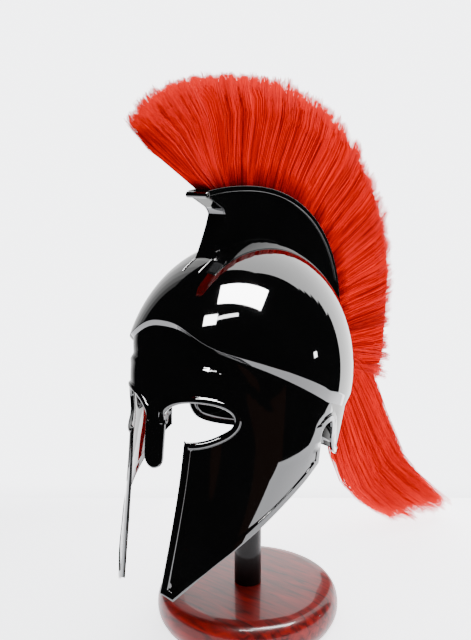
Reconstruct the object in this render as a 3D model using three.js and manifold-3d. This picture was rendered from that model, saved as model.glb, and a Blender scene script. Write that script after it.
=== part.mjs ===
// Greek (Corinthian) helmet with a hair crest, on a turned wooden stand.
// Millimetres, +Z up. The origin is the middle of the stand's underside, the face looks
// along -Y and the wearer's left is +X.

import * as THREE from 'three';
import { mergeVertices } from 'three/addons/utils/BufferGeometryUtils.js';
import Module from 'manifold-3d';

const wasm = await Module();
wasm.setup();

// Driving dimensions

const GAP = 0.3;
const WALL = 2.0;

// Crown: a superellipsoid whose front and back halves have their own lengths.
const CROWN = { yMid: -5.5, zMid: 292, halfWidth: 108, front: 155, back: 142, rise: 149, square: 2.05 };

// Level sections of the face and neck, from below the cheek tips up to the ridge.
const LEVELS = [
  { z: 80, halfFront: 72, halfBack: 84, yWide: -62, yFront: -181, yBack: 90, square: 2.3, flat: 0 },
  { z: 125, halfFront: 91, halfBack: 90, yWide: -46, yFront: -172, yBack: 92, square: 2.3, flat: 0.03 },
  { z: 170, halfFront: 101, halfBack: 97, yWide: -30, yFront: -163.5, yBack: 98, square: 2.3, flat: 0.06 },
  { z: 215, halfFront: 106, halfBack: 101, yWide: -18, yFront: -156, yBack: 102, square: 2.3, flat: 0.07 },
  { z: 255, halfFront: 106, halfBack: 103, yWide: -8, yFront: -151.5, yBack: 112, square: 2.3, flat: 0.065 },
  { z: 300, halfFront: 105, halfBack: 104, yWide: -6, yFront: -146, yBack: 128, square: 2.2, flat: 0.045 },
  { z: 345, halfFront: 101, halfBack: 101, yWide: -6, yFront: -137, yBack: 132, square: 2.15, flat: 0.015 },
  { z: 390, halfFront: 92, halfBack: 92, yWide: -6, yFront: -130, yBack: 122, square: 2.1, flat: 0 },
];

// The cheeks are flatter than the section: where that is, in turns from the face, and how far.
const CHEEK_FLAT = { turn: 0.68, spread: 0.26 };

// Ridge: where the crown steps out over the face and neck.
const RIDGE = { zMid: 276, slopeFront: 0.56, slopeBack: 0.36, peak: 14, peakHalf: 42, band: 6.5 };

// Lower edge of the shell seen from the side.
const TIP = { yFront: -173, zFront: 107, yRear: -167, zRear: 99 };
const CHEEK_CORNER = { y: -15, z: 214 };
const NOTCH = { yFront: -13, zFront: 236, yTop: 9, zTop: 253, yBack: 14, zBack: 231 };
const NAPE = { yTurn: 31, zTurn: 209.5, yMid: 60, zMid: 199, yEnd: 112, zEnd: 186 };

// Face opening seen from the front.
const SLIT = { xTip: 24, zTip: 90, xMid: 30.5, zMid: 180, xTop: 35.5, zTop: 259 };
const NASAL = { half: 12.5, zEnd: 224.5, zRoot: 272 };
const EYE = { x: 40.8, z: 275.5, halfWidth: 28.6, halfHeight: 19.5 };

// Relief: how far each raised part stands out of the shell, and how wide it is.
const RELIEF = { border: 1.2, borderWidth: 7, rim: 2.4, rimWidth: 6.5 };

// Crest holder, a long box of sheet metal, open along its top edge.
const HOLDER = { halfWidth: 12, sheet: 2, floor: 2, bandOut: 1.4, bandTall: 5, lipRadius: 3.2 };

// Its top edge seen from the side, part of a superellipse from the lip to below the crown's widest line.
const CREST = {
  yMid: -32, zMid: 330, length: 200, rise: 167.3, square: 2.2, yLip: -82, yTail: 158, zTail: 254,
};

// Its front plate from the crown up to the neck, and the flare from the neck out to the lip.
const PLATE = { yFoot: -76, zFoot: 424, yNeck: -53.5, zNeck: 469, yLip: -83, zLip: 490 };

// Hair: lines from the holder's top edge to the hair's outer edge, front to back.
const FAN = [
  { at: 0, root: -68, tipY: -160, tipZ: 572 },
  { at: 1, root: -60, tipY: -130, tipZ: 590 },
  { at: 2, root: -46, tipY: -88, tipZ: 602 },
  { at: 3, root: -24, tipY: -34, tipZ: 607 },
  { at: 4, root: 8, tipY: 28, tipZ: 606 },
  { at: 5, root: 48, tipY: 95, tipZ: 594 },
  { at: 6, root: 88, tipY: 160, tipZ: 569 },
  { at: 7, root: 124, tipY: 218, tipZ: 531 },
  { at: 8, root: 148, tipY: 264, tipZ: 483 },
  { at: 9, root: 162, tipY: 297, tipZ: 428 },
  { at: 10, root: 167, tipY: 309, tipZ: 370 },
];
const LOCK = {
  yStart: -60, count: 20, deep: 14, clear: 3, midAt: 0.8,
  rootWidth: 19, midWidth: 37, tipWidth: 20, rootThick: 19.4, midThick: 44, tipThick: 26,
};

// Tail: long locks that leave the lower end of the holder and sweep down, back and to the left.
const TAIL = [
  { yRoot: 163, zRoot: 322, yMid: 256, zMid: 316, yLow: 290, zLow: 280, yEnd: 296, zEnd: 248, xEnd: 0 },
  { yRoot: 162, zRoot: 306, yMid: 246, zMid: 262, yLow: 304, zLow: 150, yEnd: 372, zEnd: 66, xEnd: 12 },
  { yRoot: 159, zRoot: 290, yMid: 226, zMid: 232, yLow: 292, zLow: 122, yEnd: 398, zEnd: 19, xEnd: 66 },
  { yRoot: 156, zRoot: 276, yMid: 204, zMid: 202, yLow: 262, zLow: 96, yEnd: 352, zEnd: 18, xEnd: 52 },
  { yRoot: 152, zRoot: 264, yMid: 184, zMid: 178, yLow: 234, zLow: 82, yEnd: 306, zEnd: 19, xEnd: 30 },
];
const TAIL_LOCK = { steps: 6, rootWidth: 20, midWidth: 49, tipWidth: 16 };

// Stand.
const BASE = { topRadius: 90, radius: 105, height: 40, footRadius: 96 };
const POST = { radius: 15.5, top: 435, chamfer: 3 };

// Small helpers

const TAU = Math.PI * 2;
const EDGE_STEPS = 16;

function lerp(a, b, k) {
  return a + (b - a) * k;
}

// A smooth value between the rows of a table, read by the column name.
function column(rows, at, name, key = 'z') {
  const last = rows.length - 1;
  let i = 0;
  while (i < last - 1 && at > rows[i + 1][key]) i += 1;
  const k = Math.min(1, Math.max(0, (at - rows[i][key]) / (rows[i + 1][key] - rows[i][key])));
  const p0 = rows[Math.max(0, i - 1)][name];
  const p1 = rows[i][name];
  const p2 = rows[i + 1][name];
  const p3 = rows[Math.min(last, i + 2)][name];
  const a = -0.5 * p0 + 1.5 * p1 - 1.5 * p2 + 0.5 * p3;
  const b = p0 - 2.5 * p1 + 2 * p2 - 0.5 * p3;
  const c = 0.5 * (p2 - p0);
  return ((a * k + b) * k + c) * k + p1;
}

function solid(geometry) {
  const bare = geometry.clone();
  bare.deleteAttribute('normal');
  bare.deleteAttribute('uv');
  const merged = mergeVertices(bare, 1e-4);
  const mesh = new wasm.Mesh({
    numProp: 3,
    vertProperties: new Float32Array(merged.attributes.position.array),
    triVerts: new Uint32Array(merged.index.array),
  });
  return new wasm.Manifold(mesh);
}

function geometryOf(manifold) {
  const mesh = manifold.getMesh();
  const geometry = new THREE.BufferGeometry();
  geometry.setAttribute('position', new THREE.BufferAttribute(new Float32Array(mesh.vertProperties), 3));
  geometry.setIndex(new THREE.BufferAttribute(new Uint32Array(mesh.triVerts), 1));
  geometry.computeVertexNormals();
  return geometry;
}

function unite(list) {
  return list.reduce((sum, one) => sum.add(one));
}

// A closed mesh through rings of points, each ring a list of [x, y, z], first ring lowest.
function skin(rings) {
  const size = rings[0].length;
  const points = rings.flat();
  const faces = [];
  for (let j = 0; j < rings.length - 1; j += 1) {
    for (let i = 0; i < size; i += 1) {
      const a = j * size + i;
      const b = j * size + ((i + 1) % size);
      faces.push(a, b, b + size, a, b + size, a + size);
    }
  }
  const middle = (ring) => ring.reduce((sum, p) => sum.map((v, k) => v + p[k] / size), [0, 0, 0]);
  const low = points.length;
  points.push(middle(rings[0]), middle(rings[rings.length - 1]));
  const high = (rings.length - 1) * size;
  for (let i = 0; i < size; i += 1) {
    const next = (i + 1) % size;
    faces.push(low, next, i, low + 1, high + i, high + next);
  }
  const geometry = new THREE.BufferGeometry();
  geometry.setAttribute('position', new THREE.Float32BufferAttribute(points.flat(), 3));
  geometry.setIndex(faces);
  return geometry;
}

// A prism whose outline is drawn in (y, z) and which runs along X.
function prismAlongX(shape, xMin, xMax, curveSegments = 10) {
  const options = { depth: xMax - xMin, bevelEnabled: false, curveSegments };
  const geometry = new THREE.ExtrudeGeometry(shape, options);
  const axes = new THREE.Matrix4().makeBasis(
    new THREE.Vector3(0, 1, 0), new THREE.Vector3(0, 0, 1), new THREE.Vector3(1, 0, 0));
  return solid(geometry.applyMatrix4(axes).translate(xMin, 0, 0));
}

// A prism whose outline is drawn in (x, z) and which runs along Y.
function prismAlongY(shape, yMin, yMax, curveSegments = 10) {
  const options = { depth: yMax - yMin, bevelEnabled: false, curveSegments };
  const geometry = new THREE.ExtrudeGeometry(shape, options);
  const axes = new THREE.Matrix4().makeBasis(
    new THREE.Vector3(1, 0, 0), new THREE.Vector3(0, 0, 1), new THREE.Vector3(0, -1, 0));
  return solid(geometry.applyMatrix4(axes).translate(0, yMax, 0));
}

// Helmet form

function signedPower(value, power) {
  return Math.sign(value) * Math.abs(value) ** power;
}

// One point of a level section. turn is 0 at the face and PI at the nape.
function sectionPoint(turn, z, half, yWide, yFront, yBack, square) {
  const length = Math.abs(turn) < Math.PI / 2 ? yWide - yFront : yBack - yWide;
  const across = signedPower(Math.sin(turn), 2 / square);
  const along = signedPower(Math.cos(turn), 2 / square);
  return [half * across, yWide - length * along, z];
}

function facePoint(turn, z, out) {
  const read = (name) => column(LEVELS, z, name);
  const toBack = THREE.MathUtils.smoothstep(Math.abs(turn), 1.45, 1.8);
  const half = lerp(read('halfFront'), read('halfBack'), toBack) + out;
  const yWide = read('yWide');
  const front = read('yFront') - out;
  const [x, y] = sectionPoint(turn, z, half, yWide, front, read('yBack') + out, read('square'));
  const k = 1 - read('flat') * Math.exp(-(((Math.abs(turn) - CHEEK_FLAT.turn) / CHEEK_FLAT.spread) ** 2));
  return [x * k, yWide + (y - yWide) * k, z];
}

function crownPoint(turn, z, out) {
  const k = Math.sqrt(Math.max(0, 1 - ((z - CROWN.zMid) / (CROWN.rise + out)) ** 2));
  const front = CROWN.yMid - (CROWN.front + out) * k;
  const back = CROWN.yMid + (CROWN.back + out) * k;
  return sectionPoint(turn, z, (CROWN.halfWidth + out) * k, CROWN.yMid, front, back, CROWN.square);
}

// Height of the ridge's lower line at a turn round the helmet.
function ridgeHeight(turn) {
  let z = RIDGE.zMid;
  for (let pass = 0; pass < 6; pass += 1) {
    const [x, y] = facePoint(turn, z, 0);
    const slope = y < 0 ? RIDGE.slopeFront : RIDGE.slopeBack;
    const peak = y < 0 ? RIDGE.peak * Math.exp(-((Math.abs(x) / RIDGE.peakHalf) ** 3)) : 0;
    z = lerp(z, RIDGE.zMid - slope * y + peak, 0.7);
  }
  return z;
}

// The whole outer form grown by out, closed underneath at zLow.
function form(out, zLow, stations, faceRows, crownRows) {
  const rings = [];
  const turns = Array.from({ length: stations }, (_, i) => -Math.PI + (TAU * i) / stations);
  const ridge = turns.map(ridgeHeight);
  for (let j = 0; j <= faceRows; j += 1) {
    rings.push(turns.map((turn, i) => facePoint(turn, lerp(zLow, ridge[i], j / faceRows), out)));
  }
  const top = CROWN.rise + out;
  for (let j = 0; j < crownRows; j += 1) {
    rings.push(turns.map((turn, i) => {
      const start = Math.asin((ridge[i] + RIDGE.band - CROWN.zMid) / top);
      const climb = lerp(start, Math.PI / 2, (j / crownRows) ** 0.9);
      return crownPoint(turn, CROWN.zMid + top * Math.sin(climb), out);
    }));
  }
  return solid(skin(rings));
}

// Everything below the lower edge of the shell, seen from the side, with the edge lifted by up.
function belowEdge(up) {
  const shape = new THREE.Shape();
  shape.moveTo(-220, 40);
  shape.lineTo(-220, TIP.zFront + up);
  shape.lineTo(TIP.yFront, TIP.zFront + up);
  shape.lineTo(TIP.yRear, TIP.zRear + up * 1.3);
  shape.quadraticCurveTo(-116, 165.5 + up * 1.2, CHEEK_CORNER.y - up, CHEEK_CORNER.z + up);
  shape.lineTo(NOTCH.yFront - up, NOTCH.zFront);
  const arch = NOTCH.zTop + up;
  shape.bezierCurveTo(NOTCH.yFront - up, arch, NOTCH.yTop - 9, arch, NOTCH.yTop, arch);
  shape.quadraticCurveTo(NOTCH.yBack + up, arch, NOTCH.yBack + up, NOTCH.zBack + up * 0.5);
  shape.quadraticCurveTo(18 + up, 216 + up, NAPE.yTurn + up * 0.5, NAPE.zTurn + up);
  shape.quadraticCurveTo(43, 203 + up, NAPE.yMid, NAPE.zMid + up);
  shape.lineTo(NAPE.yEnd, NAPE.zEnd + up);
  shape.lineTo(220, NAPE.zEnd + up - 10);
  shape.lineTo(220, 40);
  return prismAlongX(shape, -200, 200, 8);
}

// The eye openings, face slit and the nasal between them, seen from the front.
function faceOpening() {
  const slit = new THREE.Shape();
  slit.moveTo(-SLIT.xTip, SLIT.zTip);
  slit.lineTo(SLIT.xTip, SLIT.zTip);
  slit.quadraticCurveTo(SLIT.xMid + 1.5, SLIT.zMid, SLIT.xTop, SLIT.zTop);
  slit.lineTo(SLIT.xTop, EYE.z);
  slit.lineTo(-SLIT.xTop, EYE.z);
  slit.lineTo(-SLIT.xTop, SLIT.zTop);
  slit.quadraticCurveTo(-SLIT.xMid - 1.5, SLIT.zMid, -SLIT.xTip, SLIT.zTip);
  const nasal = new THREE.Shape();
  const round = NASAL.zEnd + NASAL.half;
  nasal.moveTo(-NASAL.half, round);
  nasal.absarc(0, round, NASAL.half, Math.PI, TAU, false);
  nasal.lineTo(NASAL.half + 0.5, NASAL.zRoot);
  nasal.lineTo(NASAL.half, NASAL.zRoot + 60);
  nasal.lineTo(-NASAL.half, NASAL.zRoot + 60);
  nasal.lineTo(-NASAL.half - 0.5, NASAL.zRoot);
  const opening = unite([prismAlongY(slit, -220, -60), eyePrism(1, 0, -60), eyePrism(-1, 0, -60)]);
  return opening.subtract(prismAlongY(nasal, -230, -50, 7));
}

function eyePrism(side, grow, yBack) {
  const shape = new THREE.Shape();
  shape.absellipse(side * EYE.x, EYE.z, EYE.halfWidth + grow, EYE.halfHeight + grow, 0, TAU, false, 0);
  return prismAlongY(shape, -220, yBack, 14);
}

function makeShell() {
  const outer = form(0, 80, 52, 12, 9);
  const inner = form(-WALL, 70, 40, 8, 7);
  const border = form(RELIEF.border, 80, 52, 8, 2).subtract(form(-WALL / 2, 70, 40, 8, 7));
  const rim = form(RELIEF.rim, 80, 52, 8, 2).subtract(form(-WALL / 2, 70, 40, 8, 7));
  const edge = border.intersect(belowEdge(RELIEF.borderWidth));
  const rings = rim.intersect(unite([eyePrism(1, RELIEF.rimWidth, -90), eyePrism(-1, RELIEF.rimWidth, -90)]));
  return unite([outer.subtract(inner), edge, rings]).subtract(belowEdge(0)).subtract(faceOpening());
}

// Crest

// Height of the holder's top edge where its lower half is not reached.
function crestHeight(y) {
  const k = Math.min(1, Math.abs((y - CREST.yMid) / CREST.length));
  return CREST.zMid + CREST.rise * (1 - k ** CREST.square) ** (1 / CREST.square);
}

// Points of the top edge from yStart to the tail end, moved towards the crown by inset.
function crestEdge(inset, yStart = CREST.yLip) {
  const power = 2 / CREST.square;
  const first = Math.asin(signedPower((yStart - CREST.yMid) / CREST.length, 1 / power));
  const points = [];
  for (let i = 0; i <= EDGE_STEPS; i += 1) {
    const a = lerp(first, Math.PI / 2, i / EDGE_STEPS);
    const y = CREST.yMid + (CREST.length - inset) * signedPower(Math.sin(a), power);
    points.push(new THREE.Vector2(y, CREST.zMid + (CREST.rise - inset) * Math.cos(a) ** power));
  }
  points.push(new THREE.Vector2(CREST.yTail - inset, CREST.zTail));
  return points;
}

// The holder's side view, shrunk by sheet except along the top edge, which rises by lift.
function holderSide(sheet, lift) {
  const shape = new THREE.Shape();
  shape.moveTo(PLATE.yFoot + 22, PLATE.zFoot - 30);
  shape.lineTo(PLATE.yFoot + sheet - 10, PLATE.zFoot - 20);
  shape.quadraticCurveTo(PLATE.yNeck + sheet - 5, PLATE.zNeck - 18, PLATE.yNeck + sheet, PLATE.zNeck);
  const under = PLATE.zNeck + 9 + sheet;
  shape.quadraticCurveTo(PLATE.yNeck + sheet - 2, under - 3, PLATE.yNeck - 8, under);
  shape.lineTo(PLATE.yLip, PLATE.zLip - 1 + sheet);
  crestEdge(-lift).forEach((p) => shape.lineTo(p.x, Math.max(p.y, CREST.zTail + sheet)));
  shape.lineTo(60, CREST.zTail + sheet);
  return shape;
}

// The holder's sheet walls, raised band and rolled lip, all thicker by grow on every side.
function holderWalls(grow) {
  const half = HOLDER.halfWidth + grow;
  const innerHalf = HOLDER.halfWidth - HOLDER.sheet - grow;
  const box = prismAlongX(holderSide(-grow, grow), -half, half, 6);
  const trough = prismAlongX(holderSide(HOLDER.sheet + grow, 6), -innerHalf, innerHalf, 6);
  const bandEdge = crestEdge(HOLDER.bandTall + grow).reverse();
  const band = new THREE.Shape([...crestEdge(-grow), ...bandEdge]);
  const rail = prismAlongX(band, -half - HOLDER.bandOut, half + HOLDER.bandOut);
  const radius = HOLDER.lipRadius + grow;
  const bead = new THREE.CylinderGeometry(radius, radius, 2 * (half + HOLDER.bandOut), 14);
  const lip = solid(bead.rotateZ(Math.PI / 2).translate(0, PLATE.yLip, PLATE.zLip));
  return unite([box, rail, lip]).subtract(trough);
}

function makeHolder() {
  const crown = form(GAP, 80, 52, 12, 9);
  const overCrown = form(GAP + HOLDER.floor, 80, 52, 12, 9);
  const box = prismAlongX(holderSide(0, 0), -HOLDER.halfWidth, HOLDER.halfWidth, 6);
  return holderWalls(0).add(box.intersect(overCrown)).subtract(crown);
}

// A lock of hair through rings across a path in the (y, z) plane, six points a ring.
function lock(stations) {
  const rings = stations.map(({ x, y, z, width, thick }, i) => {
    const a = stations[Math.max(0, i - 1)];
    const b = stations[Math.min(stations.length - 1, i + 1)];
    const along = new THREE.Vector2(b.y - a.y, b.z - a.z).normalize();
    return [0, 1, 2, 3, 4, 5].map((k) => {
      const turn = (TAU * k) / 6;
      const u = (Math.cos(turn) * width) / 2;
      const v = (-Math.sin(turn) * thick) / 2 / Math.cos(Math.PI / 6);
      return [x + v, y + along.y * u, z - along.x * u];
    });
  });
  return solid(skin(rings));
}

function fanLocks() {
  const { count, deep, clear } = LOCK;
  return Array.from({ length: count }, (_, i) => {
    const at = (i / (count - 1)) * (FAN.length - 1);
    const read = (name) => column(FAN, at, name, 'at');
    const root = new THREE.Vector2(read('root'), crestHeight(read('root')));
    const tip = new THREE.Vector2(read('tipY'), read('tipZ')).lerp(root, i % 2 ? 0 : 0.04);
    const length = root.distanceTo(tip);
    const station = (reach, width, thick) => {
      const p = root.clone().lerp(tip, reach / length);
      return { x: 0, y: p.x, z: p.y, width, thick };
    };
    return lock([
      station(-deep, LOCK.rootWidth, LOCK.rootThick),
      station(clear, LOCK.rootWidth, LOCK.rootThick),
      station(length * LOCK.midAt, LOCK.midWidth * (i ? 1 : 0.5), LOCK.midThick),
      station(length, LOCK.tipWidth, LOCK.tipThick),
    ]);
  });
}

function tailLocks() {
  const { steps } = TAIL_LOCK;
  return TAIL.map((row) => {
    const route = new THREE.CatmullRomCurve3([
      new THREE.Vector3(0, row.yRoot - 8, row.zRoot + 2),
      new THREE.Vector3(0, row.yRoot + 8, row.zRoot - 4),
      new THREE.Vector3(0, row.yMid, row.zMid),
      new THREE.Vector3(row.xEnd * 0.15, row.yLow, row.zLow),
      new THREE.Vector3(row.xEnd, row.yEnd, row.zEnd),
    ]);
    return lock(Array.from({ length: steps + 1 }, (_, i) => {
      const k = i / steps;
      const p = route.getPoint(k);
      const swell = Math.sin(Math.PI * Math.min(1, k * 1.15) ** 0.8);
      const ends = k < 0.5 ? TAIL_LOCK.rootWidth : TAIL_LOCK.tipWidth;
      const thick = k < 0.2 ? LOCK.rootThick : lerp(LOCK.tipThick, LOCK.midThick, swell);
      return { x: p.x, y: p.y, z: p.z, width: lerp(ends, TAIL_LOCK.midWidth, swell), thick };
    }));
  });
}

function makePlume() {
  const under = crestEdge(LOCK.deep + 4, LOCK.yStart).reverse();
  const strip = new THREE.Shape([...crestEdge(2, LOCK.yStart), ...under]);
  const half = LOCK.rootThick / 2;
  const backing = prismAlongX(strip, -half, half);
  return unite([backing, ...fanLocks(), ...tailLocks()]).subtract(holderWalls(GAP));
}

// Stand

function makeBase() {
  const profile = [
    new THREE.Vector2(0, 0),
    new THREE.Vector2(BASE.footRadius, 0),
    new THREE.Vector2(103, 8),
    new THREE.Vector2(BASE.radius, 18),
    new THREE.Vector2(103, 28),
    new THREE.Vector2(98, 36),
    new THREE.Vector2(BASE.topRadius, BASE.height),
    new THREE.Vector2(0, BASE.height),
  ];
  return solid(new THREE.LatheGeometry(profile, 56).rotateX(Math.PI / 2));
}

function makePost() {
  const low = BASE.height + GAP;
  const profile = [
    new THREE.Vector2(0, low),
    new THREE.Vector2(POST.radius, low),
    new THREE.Vector2(POST.radius, POST.top - POST.chamfer),
    new THREE.Vector2(POST.radius - POST.chamfer, POST.top),
    new THREE.Vector2(0, POST.top),
  ];
  return solid(new THREE.LatheGeometry(profile, 28).rotateX(Math.PI / 2));
}

// Assembly

const lacquer = new THREE.MeshStandardMaterial({ color: 0x08080a, roughness: 0.08, metalness: 0.0 });
const hair = new THREE.MeshStandardMaterial({ color: 0xd81e14, roughness: 0.7, metalness: 0.0 });
const mahogany = new THREE.MeshStandardMaterial({ color: 0x5a0c0a, roughness: 0.12, metalness: 0.0 });

function part(name, manifold, material) {
  const mesh = new THREE.Mesh(geometryOf(manifold), material);
  mesh.name = name;
  return mesh;
}

const helmet = new THREE.Group();
helmet.add(part('helmet_shell', makeShell(), lacquer));
helmet.add(part('crest_holder', makeHolder(), lacquer));
helmet.add(part('plume', makePlume(), hair));
const stand = new THREE.Group();
stand.add(part('stand_base', makeBase(), mahogany));
stand.add(part('stand_post', makePost(), mahogany));

const model = new THREE.Group();
model.add(helmet, stand);

export default model;
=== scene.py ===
"""A Corinthian-style helmet with a hair crest, on a turned wooden stand.

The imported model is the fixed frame. Each sub-assembly is a class that holds its sizes in
millimetres, builds its meshes in metres and dresses them in its finish.
The face looks along -Y, +Z is up and the wearer's left is +X.
"""

from __future__ import annotations

import logging
import math
from dataclasses import dataclass, field
from enum import Enum
from typing import Iterable, Sequence

import bmesh
import bpy
import numpy as np
from bpy.types import Material, Mesh, Node, NodeSocket, NodeTree, Object
from mathutils import Euler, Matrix, Vector, geometry, kdtree


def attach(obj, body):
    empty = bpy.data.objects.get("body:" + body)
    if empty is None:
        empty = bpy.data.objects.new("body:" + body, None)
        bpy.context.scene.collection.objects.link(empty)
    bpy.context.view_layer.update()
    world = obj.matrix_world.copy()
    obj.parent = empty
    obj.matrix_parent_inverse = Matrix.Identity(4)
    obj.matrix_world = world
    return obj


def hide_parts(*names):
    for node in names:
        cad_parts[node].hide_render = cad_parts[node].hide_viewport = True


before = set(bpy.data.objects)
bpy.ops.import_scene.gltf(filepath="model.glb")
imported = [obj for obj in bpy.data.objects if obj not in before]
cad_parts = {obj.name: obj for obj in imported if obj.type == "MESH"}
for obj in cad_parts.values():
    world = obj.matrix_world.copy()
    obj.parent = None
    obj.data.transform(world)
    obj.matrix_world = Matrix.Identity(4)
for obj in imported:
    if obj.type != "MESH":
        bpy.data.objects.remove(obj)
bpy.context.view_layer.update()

LOG = logging.getLogger("helmet")
MM = 0.001
TAU = 2 * math.pi


# ---------------------------------------------------------------- helpers


def linear(hex_colour: str) -> tuple[float, float, float, float]:
    """Turns an sRGB hex colour into Blender's linear values.

    Args:
        hex_colour: Six hex digits, with or without a leading #.

    Returns:
        Red, green, blue and an alpha of 1.
    """
    digits = hex_colour.lstrip("#")
    channels = [int(digits[i : i + 2], 16) / 255 for i in (0, 2, 4)]
    turned = [c / 12.92 if c <= 0.04045 else ((c + 0.055) / 1.055) ** 2.4 for c in channels]
    return (turned[0], turned[1], turned[2], 1.0)


def smooth(value: np.ndarray, low: float, high: float) -> np.ndarray:
    """A soft step from 0 at low to 1 at high."""
    k = np.clip((value - low) / (high - low), 0.0, 1.0)
    return k * k * (3 - 2 * k)


def signed_power(value: np.ndarray, power: np.ndarray) -> np.ndarray:
    """Raises the size of a value to a power and keeps its sign."""
    return np.sign(value) * np.abs(value) ** power


@dataclass(frozen=True)
class Table:
    """A short table of rows, read smoothly between them by column name."""

    columns: tuple[str, ...]
    rows: tuple[tuple[float, ...], ...]

    def read(self, name: str, at: np.ndarray) -> np.ndarray:
        """Reads a column at any value of the first column.

        Args:
            name: The column's name.
            at: Where to read it, as a value of the first column.

        Returns:
            The values, on a Catmull-Rom curve through the rows.
        """
        table = np.array(self.rows, dtype=float)
        key = table[:, 0]
        values = table[:, self.columns.index(name)]
        last = len(key) - 1
        at = np.asarray(at, dtype=float)
        i = np.clip(np.searchsorted(key, at, side="right") - 1, 0, last - 1)
        k = np.clip((at - key[i]) / (key[i + 1] - key[i]), 0.0, 1.0)
        p0, p1 = values[np.maximum(i - 1, 0)], values[i]
        p2, p3 = values[i + 1], values[np.minimum(i + 2, last)]
        a = -0.5 * p0 + 1.5 * p1 - 1.5 * p2 + 0.5 * p3
        b = p0 - 2.5 * p1 + 2 * p2 - 0.5 * p3
        return ((a * k + b) * k + 0.5 * (p2 - p0)) * k + p1


def piece_from(name: str, points: np.ndarray, faces: Sequence[Sequence[int]]) -> Object:
    """Makes an object from points in millimetres.

    Args:
        name: The piece's name.
        points: One row of x, y and z for each vertex, in millimetres.
        faces: Vertex numbers of each face, anticlockwise from outside.

    Returns:
        The linked object, at the origin, shaded smooth.
    """
    mesh = bpy.data.meshes.new(name)
    mesh.from_pydata((np.asarray(points) * MM).tolist(), [], [list(f) for f in faces])
    mesh.update()
    mesh.shade_smooth()
    made = bpy.data.objects.new(name, mesh)
    bpy.context.scene.collection.objects.link(made)
    return made


def settle(made: Object, sharp_degrees: float | None = 35.0) -> Object:
    """Turns an object with modifiers into a plain mesh with crisp edges kept.

    Args:
        made: The object, whose modifiers are used up.
        sharp_degrees: Edges that turn by more than this are drawn sharp; None keeps the
            directions that the modifiers gave.

    Returns:
        The same object, with a plain mesh.
    """
    graph = bpy.context.evaluated_depsgraph_get()
    plain = bpy.data.meshes.new_from_object(made.evaluated_get(graph), depsgraph=graph)
    made.modifiers.clear()
    made.data = plain
    plain.name = made.name
    if sharp_degrees is not None:
        plain.shade_smooth()
        plain.set_sharp_from_angle(angle=math.radians(sharp_degrees))
    return made


def face_outwards(made: Object) -> None:
    """Turns every face of a closed mesh outwards."""
    work = bmesh.new()
    work.from_mesh(made.data)
    bmesh.ops.recalc_face_normals(work, faces=work.faces)
    work.to_mesh(made.data)
    work.free()


def carry(mesh: Mesh, label: str, values: np.ndarray) -> None:
    """Stores one number for each vertex of a mesh, under a label."""
    layer = mesh.attributes.new(label, "FLOAT", "POINT")
    layer.data.foreach_set("value", np.asarray(values, dtype=np.float32))


def skin(rings: Sequence[np.ndarray]) -> tuple[np.ndarray, list]:
    """A closed skin through rings of the same number of points.

    Args:
        rings: Each ring's points, in order.

    Returns:
        The points and the faces, both ends capped.
    """
    size = len(rings[0])
    faces = [(j * size + i, j * size + (i + 1) % size, (j + 1) * size + (i + 1) % size,
              (j + 1) * size + i) for j in range(len(rings) - 1) for i in range(size)]
    last = (len(rings) - 1) * size
    faces += [tuple(range(size))[::-1], tuple(last + i for i in range(size))]
    return np.concatenate(rings), faces


def mount(made: Object, finish: Material, slot: str, *nodes: str) -> None:
    """Dresses a finished piece and hangs it on the frame.

    Args:
        made: The piece.
        finish: Its material.
        slot: The record's material slot; not used.
        nodes: CAD nodes that it stands for.
    """
    made.data.materials.clear()
    made.data.materials.append(finish)
    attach(made, "root")
    if nodes:
        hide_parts(*nodes)
    LOG.info("%s: %d faces", made.name, len(made.data.polygons))


# ---------------------------------------------------------------- finishes


def wire(tree: NodeTree, node: Node, links: dict) -> None:
    """Feeds a node's inputs, each by its name or number, from output sockets."""
    for key, source in links.items():
        tree.links.new(source, node.inputs[key])


def add_node(tree: NodeTree, kind: str, settings: dict | None = None,
             links: dict | None = None) -> Node:
    """Adds a node, sets it and links its inputs.

    Args:
        tree: The shader or geometry tree.
        kind: The node's type name.
        settings: Attribute names, or input names or numbers, with their values.
        links: Input names or numbers, with the output sockets that feed them.

    Returns:
        The new node.
    """
    node = tree.nodes.new(kind)
    for key, value in (settings or {}).items():
        if isinstance(key, str) and hasattr(node, key) and key not in node.inputs:
            setattr(node, key, value)
        else:
            node.inputs[key].default_value = value
    wire(tree, node, links or {})
    return node


def new_material(name: str, settings: dict) -> tuple[Material, NodeTree, Node]:
    """Makes a material with a Principled shader.

    Args:
        name: The material's name.
        settings: The shader's inputs with their values.

    Returns:
        The material, its node tree and the shader node.
    """
    made = bpy.data.materials.new(name)
    made.use_nodes = True
    tree = made.node_tree
    tree.nodes.clear()
    shader = add_node(tree, "ShaderNodeBsdfPrincipled", settings)
    add_node(tree, "ShaderNodeOutputMaterial", links={"Surface": shader.outputs["BSDF"]})
    return made, tree, shader


def colour_ramp(tree: NodeTree, source: NodeSocket, *stops: tuple[float, str]) -> NodeSocket:
    """The colour of a ramp of (place, sRGB hex) stops, read at a source."""
    node = add_node(tree, "ShaderNodeValToRGB", links={"Fac": source})
    while len(node.color_ramp.elements) < len(stops):
        node.color_ramp.elements.new(0.5)
    for element, (place, colour) in zip(node.color_ramp.elements, stops):
        element.position = place
        element.color = linear(colour)
    return node.outputs["Color"]


def carried(tree: NodeTree, label: str) -> NodeSocket:
    """Reads a number that a mesh carries, in a shader."""
    return add_node(tree, "ShaderNodeAttribute", {"attribute_name": label}).outputs["Fac"]


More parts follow.
